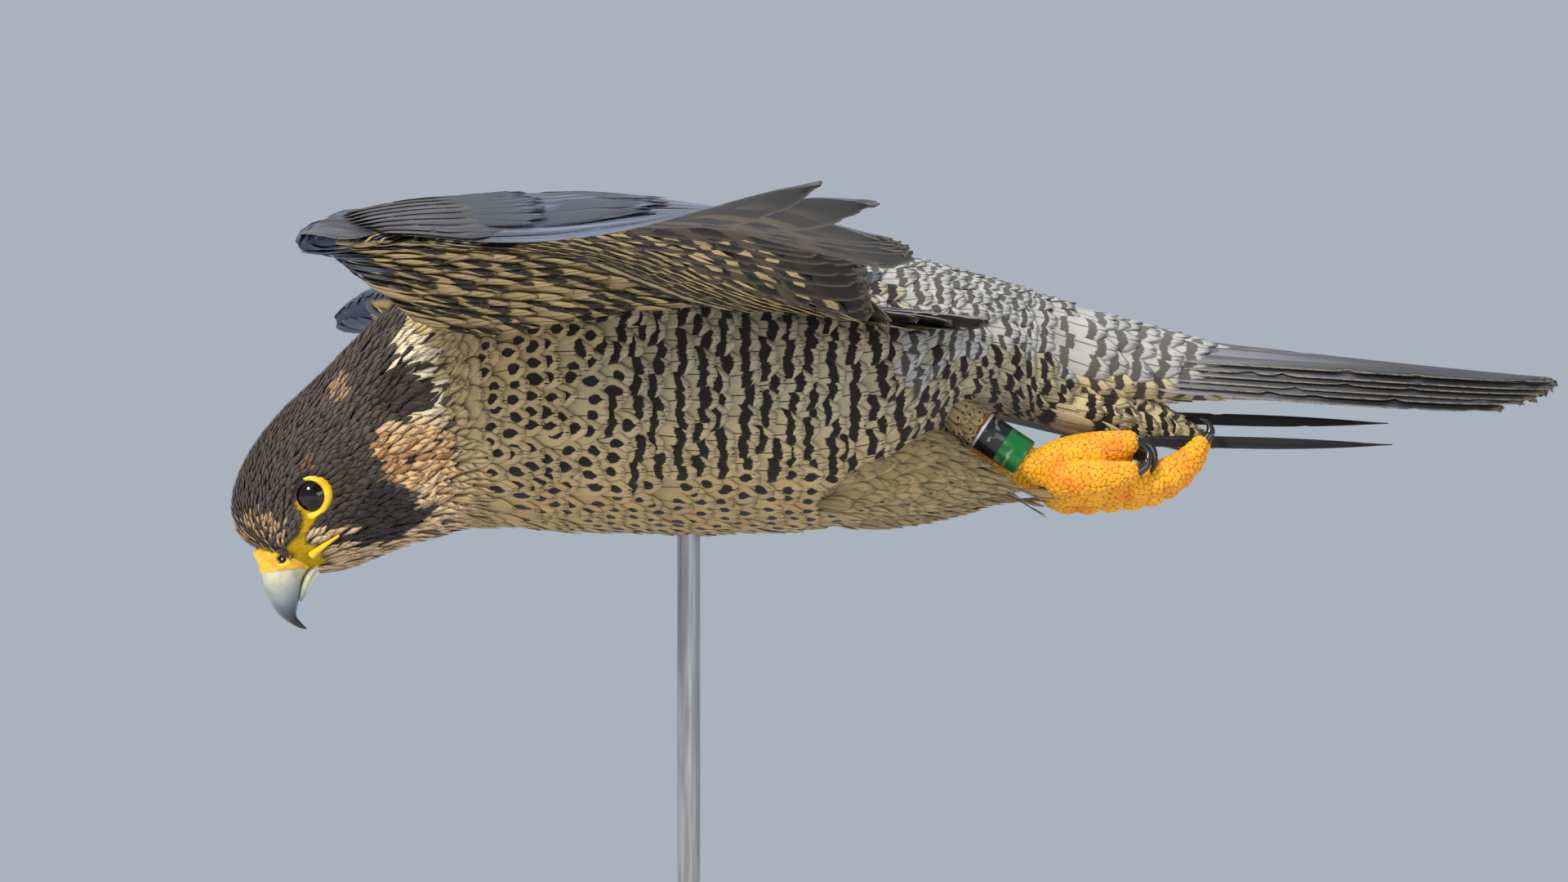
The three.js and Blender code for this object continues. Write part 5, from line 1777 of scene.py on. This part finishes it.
# %% Bill finish
def bill_finish():
    r = Recipe("bill_finish", 0.32, Specular_IOR_Level=0.5, Coat_Weight=0.25, Coat_Roughness=0.2,
               Subsurface_Weight=0.06, Subsurface_Radius=(0.004, 0.003, 0.0015))
    t, _, is_cere = r.numbers("vane")
    streak = r.noise(60.0, stretch=(1.0, 1.0, 0.25), detail=4)
    cloud = r.noise(240.0, detail=3)
    along = t + (streak - 0.5) * 0.16
    horn = r.blend(r.step(along, 0.34, 0.56), srgb(214, 208, 176), srgb(146, 152, 150))
    horn = r.blend(r.step(along, 0.52, 0.70), horn, srgb(82, 90, 100))
    horn = r.blend(r.step(along, 0.66, 0.82), horn, srgb(30, 27, 28))
    horn = r.blend(r.step(cloud, 0.45, 0.7) * 0.25, horn, srgb(60, 58, 56))
    yellow = r.blend(r.step(cloud, 0.35, 0.75), srgb(246, 204, 30), srgb(232, 160, 28))
    yellow = r.blend(r.step(streak, 0.55, 0.8) * 0.5, yellow, srgb(250, 226, 120))
    r.colour(r.blend(is_cere, horn, yellow))
    r.relief(r.noise(1400.0, detail=3) * is_cere + streak * 0.3, 0.00025, 0.5)
    return r.material


bill_material = bill_finish()


def closed_grid_piece(name, grid, values, material, replaced=()):
    return finish_piece(mesh_piece(name, *joined([grid]), values), material, replaced)


mirrored = np.stack([upper_grid[..., 0], np.abs(upper_grid[..., 1]), upper_grid[..., 2]], -1)
nostril_gap = np.linalg.norm((mirrored - NOSTRIL) * np.array([1, 0.35, 1]), axis=-1)
cere_share = ease(CERE_EDGE + 0.012, CERE_EDGE - 0.008, upper_t) * (1 - 0.96 * ease(1.75, 1.35, nostril_gap))
hole = ease(1.75, 1.35, nostril_gap) * (1 - 0.8 * ease(0.8, 0.5, nostril_gap))
upper_vane = np.stack([np.where(hole > 0.5, 0.95, upper_t), 0 * upper_t, cere_share], -1)
closed_grid_piece("bill_upper_horn", upper_grid, {"vane": upper_vane.reshape(-1, 3)}, bill_material,
                  ("bill_upper",))
lower_t = np.linspace(0, 1, 60)[:, None] + 0 * lower_grid[..., 0]
lower_vane = np.stack([0.30 + 0.30 * lower_t**2, 0 * lower_t, ease(0.24, 0.12, lower_t)], -1)
closed_grid_piece("bill_lower_horn", lower_grid, {"vane": lower_vane.reshape(-1, 3)}, bill_material,
                  ("bill_lower",))

# %% [markdown]
# The mouth line runs back from the bill as a bare yellow fold, the gape. A lens-shaped ring of the same
# bare skin frames each eye, narrow above and behind and wide towards the bill. The gape is a soft rope on
# the face, so it is swept as a tube with a varying section. The ring is a strip whose rise and width change
# round the eye, and a modifier gives it thickness.

# %% Yellow skin of the gape and the eye ring
def skin_finish(name, light, deep, pale):
    r = Recipe(name, 0.42, Specular_IOR_Level=0.45, Subsurface_Weight=0.1,
               Subsurface_Radius=(0.005, 0.003, 0.001))
    cloud = r.noise(220.0, detail=4)
    pores = r.noise(1300.0, detail=2)
    base = r.blend(r.step(cloud, 0.36, 0.66), light, deep)
    r.colour(r.blend(r.step(pores, 0.52, 0.7) * 0.45, base, pale))
    r.relief(pores + cloud, 0.00022, 0.6)
    return r.material


yellow_skin = skin_finish("yellow_skin", srgb(250, 214, 22), srgb(238, 176, 14), srgb(255, 236, 110))


def sweep(path, wide, high, sides=16, out=None):
    """A closed rope along path. wide is its half width across, high its half height along out."""
    path = np.asarray(path, float)
    ahead = unit(np.gradient(path, axis=0))
    out = unit(out - (out * ahead).sum(-1, keepdims=True) * ahead)
    aside = np.cross(ahead, out)
    a = np.arange(sides) / sides * 2 * math.pi
    return (path[:, None] + aside[:, None] * (np.cos(a)[None] * np.asarray(wide)[:, None])[..., None]
            + out[:, None] * (np.sin(a)[None] * np.asarray(high)[:, None])[..., None])


def eye_frame():
    """Two directions in the plane of the eye's ring: towards the bill, and up the face from it."""
    to_bill = unit(np.array([-0.50, 0, -0.87]) - (np.array([-0.50, 0, -0.87]) @ EYE_AXIS) * EYE_AXIS)
    return to_bill, np.cross(EYE_AXIS, to_bill)


LID_STEPS = 120
GAPE_STEPS = 40
to_bill, along_face = eye_frame()
turn = np.linspace(0, 2 * math.pi, LID_STEPS, endpoint=False)
bill_side = np.clip(np.cos(turn), 0, 1)
rear_point = np.clip(-np.cos(turn - 0.5), 0, 1) ** 6
LID_RINGS = ((5.9, 5.35), (6.15, 6.0), (6.5, 6.1), (7.0, 5.6), (7.6, 4.7), (8.4, 3.2))  # radius, rise
rings = []
for radius, rise in LID_RINGS:
    widen = (radius - LID_RINGS[0][0]) / (LID_RINGS[-1][0] - LID_RINGS[0][0])
    r = radius + widen * (3.6 * bill_side**2 + 0.5 * rear_point) - 0.9 * widen * (1 - bill_side)
    level = rise - 1.5 * widen * bill_side
    rings.append(EYE + EYE_AXIS * level[:, None] + to_bill * (r * np.cos(turn))[:, None]
                 + along_face * (r * np.sin(turn))[:, None])
lid_points, lid_quads, _ = joined([mirror_sides(side, np.stack(rings)) for side in (-1, 1)], (-1, 1))
lids = mesh_piece("eye_rings", lid_points, lid_quads)
thicken = lids.modifiers.new("thicken", "SOLIDIFY")
thicken.thickness = 0.7 * MM
finish_piece(lids, yellow_skin)


def out_on_face(x, z):
    """How far out the face's surface lies at a place in side view."""
    near = (trunk_form.grid[..., 0] - x) ** 2 + (trunk_form.grid[..., 2] - z) ** 2
    near = near + 1e6 * (trunk_form.grid[..., 1] < 0)
    weight = np.exp(-(near - near.min()))
    return float((weight * trunk_form.grid[..., 1]).sum() / weight.sum())


corner = np.array([(x, out_on_face(x, z) + 0.2, z) for x, z in GAPE_PATH])
t = np.linspace(0, 1, GAPE_STEPS)
fold = sweep(smooth_rows(corner, GAPE_STEPS), mix(1.5, 0.4, t), mix(1.3, 0.5, t), 16,
             np.array([[0.2, 1.0, -0.3]]))
gape = mesh_piece("gape_folds", *joined([mirror_sides(side, fold) for side in (-1, 1)], (-1, 1)))
finish_piece(gape, yellow_skin)

# %% [markdown]
# A falcon's eye is almost black, a brown so deep that the pupil hardly shows, under a wet clear cornea. The
# solid's ball is right in size and place, so a finer ball replaces it, a hair smaller and with a bulge for
# the cornea. Its colours are set by the distance from the eye's axis.

# %% Eyes
PUPIL_BLACK = (0.0012, 0.001, 0.001)


def eye_finish():
    r = Recipe("eye_finish", 0.06, Specular_IOR_Level=0.35, Coat_Weight=0.25, Coat_Roughness=0.02)
    x, y, z = r.numbers("vane")
    fibres = r.noise(1.0, r.vector(y * 14.0, x * 2.0, z), detail=3)
    iris = r.blend(fibres, srgb(24, 14, 8), srgb(14, 8, 5))
    eye = r.blend(r.step(x, 0.44, 0.50), PUPIL_BLACK, iris)
    r.colour(r.blend(r.step(x, 0.66, 0.74), eye, srgb(12, 9, 8)))
    return r.material


eye_material = eye_finish()
EYE_RINGS = 64
for side, node in ((-1, "eye_left"), (1, "eye_right")):
    tilt = np.linspace(0.002, math.pi - 0.002, EYE_RINGS)[:, None]
    spin = (np.arange(EYE_RINGS) / EYE_RINGS * 2 * math.pi)[None]
    ball = (EYE_AXIS * np.cos(tilt)[..., None] + to_bill * (np.sin(tilt) * np.cos(spin))[..., None]
            + along_face * (np.sin(tilt) * np.sin(spin))[..., None])
    bulge = 1 + 0.045 * ease(0.75, 0.1, tilt)[..., None]
    grid = mirror_sides(side, EYE + ball * EYE_RADIUS * 0.97 * bulge)
    vane = np.stack([np.sin(tilt) + 0 * spin + (tilt > 1.57) * 1.0, spin + 0 * tilt, 0 * tilt + 0 * spin], -1)
    ball_piece = mesh_piece(node + "_ball", *joined([grid], [side]), {"vane": vane.reshape(-1, 3)})
    finish_piece(ball_piece, eye_material, (node,))

# %% [markdown]
# The feet are drawn up and clenched. Each toe is a tapering rope with swollen pads under its joints, clad
# in yellow warts. The ropes and pads are fused by a fine voxel remesh, then every point is pushed out by a
# pattern of cells, which makes the warts real relief and not only a bump.

# %% Toe paths
PALM = (104.5, 20, -22.5)
TOES = {
    "hallux": ([(*PALM, 5.6), (112, 21, -18, 5.6), (124, 22, -15.6, 5.4), (134.5, 22, -13.8, 4.0)],
               [(136, 22, -13, 2.5), (141.5, 22, -15, 2.1), (143.6, 22, -20, 1.3), (142, 22, -25.5, 0.25)]),
    "inner": ([(*PALM, 5.2), (113, 12.5, -25.5, 5.0), (125, 9.5, -26, 4.8), (135.5, 10, -24, 3.7)],
              [(137, 10, -23.5, 2.2), (141, 10.5, -20, 1.8), (141.5, 11, -15.5, 1),
               (138.5, 11.5, -12.5, 0.2)]),
    "middle": ([(*PALM, 5.8), (115, 17.5, -26.8, 5.9), (130, 17, -26.6, 5.7), (144, 17, -25.2, 5.2),
                (154, 17, -20.2, 4.4), (159.6, 17, -14.4, 3.3)],
               [(160.5, 17, -13.8, 2.1), (163, 17, -10.4, 1.7), (162.6, 17, -7, 1), (159.4, 17, -5, 0.2)]),
    "outer": ([(*PALM, 5.4), (112, 25.5, -25.6, 5.2), (124, 27.6, -25.6, 5.0), (134.5, 27.4, -24.6, 3.8)],
              [(136, 27.4, -25.2, 2.1), (140.5, 27, -22, 1.7), (141.5, 26.8, -18, 1),
               (139, 26.6, -14.6, 0.2)]),
}
BAND = {"x": 91.8, "z": -14.2}  # the middle of the leg band, in side view
SHANK_WAY = np.array([0.83, 0, -0.557])


def on_shank(d, radius):
    return (BAND["x"] + SHANK_WAY[0] * d, LEG_OUT, BAND["z"] + SHANK_WAY[2] * d, radius)


def toe_tube(path, steps, sides):
    rows = smooth_rows(np.array(path, float), steps)
    return sweep(rows[:, :3], rows[:, 3], rows[:, 3], sides, np.array([[0.0, 0.0, 1.0]]))


BALL_RINGS = 14
BALL_SIDES = 28


def ball_rings(centre, radius):
    tilt = np.linspace(0.05, math.pi - 0.05, BALL_RINGS)[:, None]
    spin = (np.arange(BALL_SIDES) / BALL_SIDES * 2 * math.pi)[None]
    way = np.stack([np.sin(tilt) * np.cos(spin), np.sin(tilt) * np.sin(spin), np.cos(tilt) + 0 * spin], -1)
    return np.asarray(centre, float) + way * radius


FOOT_VOXEL = 0.55
FOOT_ROUNDS = 4


def foot_shell(side):
    grids = [toe_tube([on_shank(-15, 4.6), on_shank(0, 4.7), on_shank(9.5, 4.8), (*PALM, 5.6)], 40, 24)]
    for path, _ in TOES.values():
        grids.append(toe_tube(path, 14 * len(path), 24))
        grids.append(ball_rings(np.array(path[-1][:3]), path[-1][3] * 1.02))
        rows = smooth_rows(np.array(path, float), 2 * len(path) - 1)
        for x, y, z, radius in rows[2:-1]:
            grids.append(ball_rings((x, y, z - 0.28 * radius), radius * 1.12))
    return fused("foot", [mirror_sides(side, grid) for grid in grids], FOOT_VOXEL, FOOT_ROUNDS)

# %% [markdown]
# Warts are cells of many sizes. Seeds are scattered evenly over the foot's points, and each point looks up
# how far it is from the nearest seed and from the second nearest. Their difference is zero in the creases
# between warts and largest on top of one, so it serves as a height and as a value for the colour, which
# paints shade into the creases as a darker orange-brown.

# %% Warts
from mathutils.kdtree import KDTree

WART_SPACING = 2.3
WART_HEIGHT = 0.52


def add_warts(mesh, seed):
    points = point_values(mesh, "co") / MM
    rng = np.random.default_rng(seed)
    tried = points[rng.permutation(len(points))]
    reach = WART_SPACING * rng.uniform(0.55, 1.1, len(points))
    seeds = tried[kept_apart(tried, reach, WART_SPACING)]
    tree = KDTree(len(seeds))
    for i, place in enumerate(seeds):
        tree.insert(place, i)
    tree.balance()
    nearest = (tree.find_n(point, 2) for point in points)
    dome = ease(0.0, 0.75, np.array([second[2] - first[2] for first, second in nearest]))
    raised = points + point_values(mesh, "normal") * (WART_HEIGHT * (dome - 0.35))[:, None]
    mesh.vertices.foreach_set("co", (raised * MM).astype(np.float32).ravel())
    wart = mesh.attributes.new("wart", "FLOAT_VECTOR", "POINT")
    wart.data.foreach_set("vector", np.stack([dome, 0 * dome, 0 * dome], -1).astype(np.float32).ravel())
    mesh.update()
    return len(seeds)


def foot_finish():
    r = Recipe("foot_finish", 0.5, Specular_IOR_Level=0.4, Subsurface_Weight=0.1,
               Subsurface_Radius=(0.004, 0.002, 0.0008))
    dome = r.numbers("wart")[0]
    grain = r.noise(1500.0, detail=3)
    top = r.blend(r.step(r.noise(90.0, detail=3), 0.40, 0.66), srgb(250, 176, 12), srgb(238, 142, 8))
    top = r.blend(r.step(grain, 0.55, 0.75) * 0.3, top, srgb(255, 214, 90))
    # Painted shade: the creases between warts are a dark orange-brown, the tops of the warts yellow.
    r.colour(r.blend(r.step(dome, 0.05, 0.5), srgb(168, 84, 8), top))
    r.relief(grain, 0.0002, 0.5)
    return r.material


foot_material = foot_finish()
for side, key in ((-1, "left"), (1, "right")):
    shell = foot_shell(side)
    warts = add_warts(shell, 121 + side)
    foot = bpy.data.objects.new("foot_skin_" + key, shell)
    bpy.context.scene.collection.objects.link(foot)
    finish_piece(foot, foot_material, ("foot_" + key,))
    print("warts on the", key, "foot:", warts)

# %% [markdown]
# Where the ring ends, the thigh's feathers begin, so a cuff of small ones closes the shank off above it.
# They grow on a sleeve of their own, a little wider than the shank.

# %% Cuffs above the ring
def shank_cuff(side):
    """The feathers that end the thigh, on a sleeve round the shank above the ring."""
    path = [on_shank(-24, 4.6), on_shank(-16, 6.0), on_shank(-9, 6.7)]
    sleeve = Surface(mirror_sides(side, toe_tube(path, 30, 24)))
    outwards = sleeve.grid - sleeve.grid.mean(1, keepdims=True)
    sleeve.out = sleeve.out * np.sign((sleeve.out * outwards).sum(-1).mean())
    p, q = scatter(sleeve, 2.1, 131 + side, None, (0.05, 0.60))
    rng = np.random.default_rng(133 + side)
    batch = lay_feathers(sleeve, p, q, rng.uniform(5.0, 6.8, len(p)), 4.0, rng.normal(0, 0.16, len(p)), 5, 6,
                         low=0.1, rise=0.9, camber=0.03, teeth=0.08, thick=0.16, seed=135 + side)
    return batch, covert_look(len(p), THIGH_BUFF, INK, (0, 0.25, 0.03), rng, 0.15)


for side, key in ((-1, "left"), (1, "right")):
    cuff, cuff_look = shank_cuff(side)
    feather_piece("shank_cuff_" + key, [cuff], [cuff_look], plumage_finish)

# %% [markdown]
# Claws are black horn, round above and below, each a swept curve that ends in a needle. They
# shine more than the bill does.

# %% Claws
def claw_finish():
    r = Recipe("claw_finish", 0.26, Specular_IOR_Level=0.5, Coat_Weight=0.3, Coat_Roughness=0.15)
    streak = r.noise(180.0, stretch=(0.4, 1.0, 1.0), detail=4)
    r.colour(r.blend(r.step(streak, 0.4, 0.7), srgb(20, 18, 18), srgb(46, 42, 40)))
    r.relief(streak, 0.0002, 0.4)
    return r.material


claw_material = claw_finish()
for side, key in ((-1, "left"), (1, "right")):
    for toe, (_, claw) in TOES.items():
        rows = smooth_rows(np.array(claw, float), 40)
        rows[0, 3] *= 0.9
        grid = sweep(rows[:, :3], rows[:, 3] * 0.92, rows[:, 3], 20, np.array([[0.3, 0.0, 1.0]]))
        horn = mesh_piece("claw_horn_" + key + "_" + toe, *joined([mirror_sides(side, grid)], [side]))
        finish_piece(horn, claw_material, ("claw_" + key + "_" + toe,))

# %% [markdown]
# The left shank carries a closed ring. It is anodised metal, black at its upper part and green below, with
# a bare silver rim, lightly scratched. It stays plain, and its upper rim and its colour joint are real
# steps.

# %% Leg band
BAND_PROFILE = [
    # distance along the shank from the ring's middle, radius
    (-9.0, 5.3), (-9.0, 6.6), (-8.7, 6.9), (-7.9, 6.9), (-7.8, 6.75), (-0.3, 6.75), (0.0, 6.6), (0.3, 6.75),
    (8.2, 6.75), (8.6, 6.7), (9.0, 6.4), (9.0, 5.3),
]
BAND_SIDES = 96


def band_finish():
    r = Recipe("band_finish", 0.3, Specular_IOR_Level=0.5, Metallic=0.35, Coat_Weight=0.35,
               Coat_Roughness=0.12)
    d = r.numbers("vane")[0]
    scratch = r.noise(260.0, stretch=(1.0, 0.25, 1.0), detail=5)
    worn = r.step(scratch, 0.60, 0.68)
    enamel = r.blend(r.step(d, -0.15, 0.15), srgb(22, 22, 24), srgb(14, 112, 48))
    enamel = r.blend(worn * 0.55, enamel, srgb(178, 176, 168))
    r.colour(r.blend(r.step(d, -7.7, -8.0), enamel, srgb(205, 204, 200)))
    r.relief(scratch, 0.0002, 0.3)
    return r.material


profile = np.array(BAND_PROFILE)
a = np.arange(BAND_SIDES) / BAND_SIDES * 2 * math.pi
flank, above = np.array([0.0, 1.0, 0.0]), np.cross(SHANK_WAY, np.array([0.0, 1.0, 0.0]))
centre = np.array([BAND["x"], -LEG_OUT, BAND["z"]])
band_grid = (centre + SHANK_WAY * profile[:, :1])[:, None] + profile[:, 1][:, None, None] * (
    flank * np.cos(a)[:, None] + above * np.sin(a)[:, None])[None]
band_quads = tube_quads(len(profile), BAND_SIDES)
count = len(profile) * BAND_SIDES
i = np.arange(BAND_SIDES)
j = (i + 1) % BAND_SIDES
last = count - BAND_SIDES
closing = np.stack([last + i, last + j, j, i], -1)
band_value = np.stack([np.repeat(profile[:, 0], BAND_SIDES)] * 3, -1)
band = mesh_piece("leg_band_ring", room(band_grid.reshape(-1, 3)), np.concatenate([band_quads, closing]),
                  values={"vane": band_value})
finish_piece(band, band_finish(), ("leg_band",))

# %% [markdown]
# The skin now gets its finish. Little of it shows, only a shadow between feathers, so it wears the coat's
# own colours darkened as painted shade: each point takes the colour that the body map gives there, at a third
# to three quarters of its lightness.

# %% Skin finish
def coat_skin_finish():
    r = Recipe("skin_finish", 0.85, Specular_IOR_Level=0.15)
    cloud = r.noise(700.0, detail=3)
    # Painted shade: the coat colour darkened, since the skin shows only in the shade between feathers.
    r.colour(r.shaded(r.stored("ground"), 0.35 + cloud * 0.4))
    r.relief(cloud, 0.0004, 0.6)
    return r.material


def bird_frame(points):
    """Points in the room, in metres, back in the bird's frame, in millimetres."""
    p = np.asarray(points, float) / MM - np.array([FORWARD_SHIFT, 0, FLIGHT_HEIGHT])
    y = p[:, 1] * math.cos(BANK) + p[:, 2] * math.sin(BANK)
    z = -p[:, 1] * math.sin(BANK) + p[:, 2] * math.cos(BANK)
    return np.stack([p[:, 0], y, z], -1)


LORE_YELLOW = srgb(244, 196, 24)
NOSE_SKIN = -130  # x ahead of which the wing's skin is slate on both sides
skin_points = bird_frame(point_values(skin_mesh, "co"))
skin_normals = point_values(skin_mesh, "normal")
skin_look, _ = body_look(skin_points, skin_normals.astype(float), np.random.default_rng(5))
skin_look["ground"][bare_skin(skin_points), :3] = LORE_YELLOW
facing_up = (skin_normals[:, 2:] > 0) | (skin_points[:, :1] < NOSE_SKIN)
wing_tone = np.where(facing_up, np.array(UPPER_COVERT), np.array(UNDER_COVERT))
far_out = ease(50, 70, np.abs(skin_points[:, 1]))[:, None]
skin_look["ground"][:, :3] = mix(skin_look["ground"][:, :3], wing_tone, far_out)
ground = skin_mesh.attributes.new("ground", "FLOAT_COLOR", "POINT")
ground.data.foreach_set("color", skin_look["ground"].astype(np.float32).ravel())
finish_piece(skin, coat_skin_finish(), ("head", "neck", "torso", "leg_left", "leg_right"))

# %% [markdown]
# The stand's solids already have their true shape, a disc and a rod, so they stay and only get a finish:
# dark lacquered metal with a faint brushed grain.

# %% Stand finish
def stand_finish(name, tone, roughness):
    r = Recipe(name, roughness, Specular_IOR_Level=0.5, Metallic=0.6)
    brushed = r.noise(500.0, stretch=(1.0, 1.0, 0.06), detail=4)
    cloud = r.noise(14.0, detail=2)
    base = r.blend(r.step(brushed, 0.35, 0.65), tone, tuple(min(1.0, c * 1.5) for c in tone))
    r.colour(r.blend(cloud * 0.15, base, srgb(90, 90, 92)))
    r.relief(brushed, 0.00015, 0.3)
    return r.material


STAND_LOOKS = (("stand_base", srgb(58, 58, 60), 0.42), ("stand_rod", srgb(150, 150, 152), 0.28))
for node, tone, roughness in STAND_LOOKS:
    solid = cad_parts[node]
    solid.data.materials.clear()
    solid.data.materials.append(stand_finish(node + "_finish", tone, roughness))
    print(node, "finished")


def floor_finish():
    r = Recipe("floor_finish", 0.8)
    cloud = r.noise(3.0, detail=2)
    r.colour(r.blend(cloud, srgb(214, 217, 222), srgb(222, 225, 229)))
    return r.material


floor.data.materials.append(floor_finish())

# %% [markdown]
# Last, the sizes.

# %% Sizes and finish
dressed_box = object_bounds()
for axis in range(3):
    side = solid_box[1][axis] - solid_box[0][axis]
    print("xyz"[axis], "grows by", round((solid_box[0][axis] - dressed_box[0][axis]) / side * 100, 2), "and",
          round((dressed_box[1][axis] - solid_box[1][axis]) / side * 100, 2), "per cent")
triangles = sum(len(o.data.loops) - 2 * len(o.data.polygons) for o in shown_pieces() if o.type == "MESH")
print("triangles in all:", triangles)
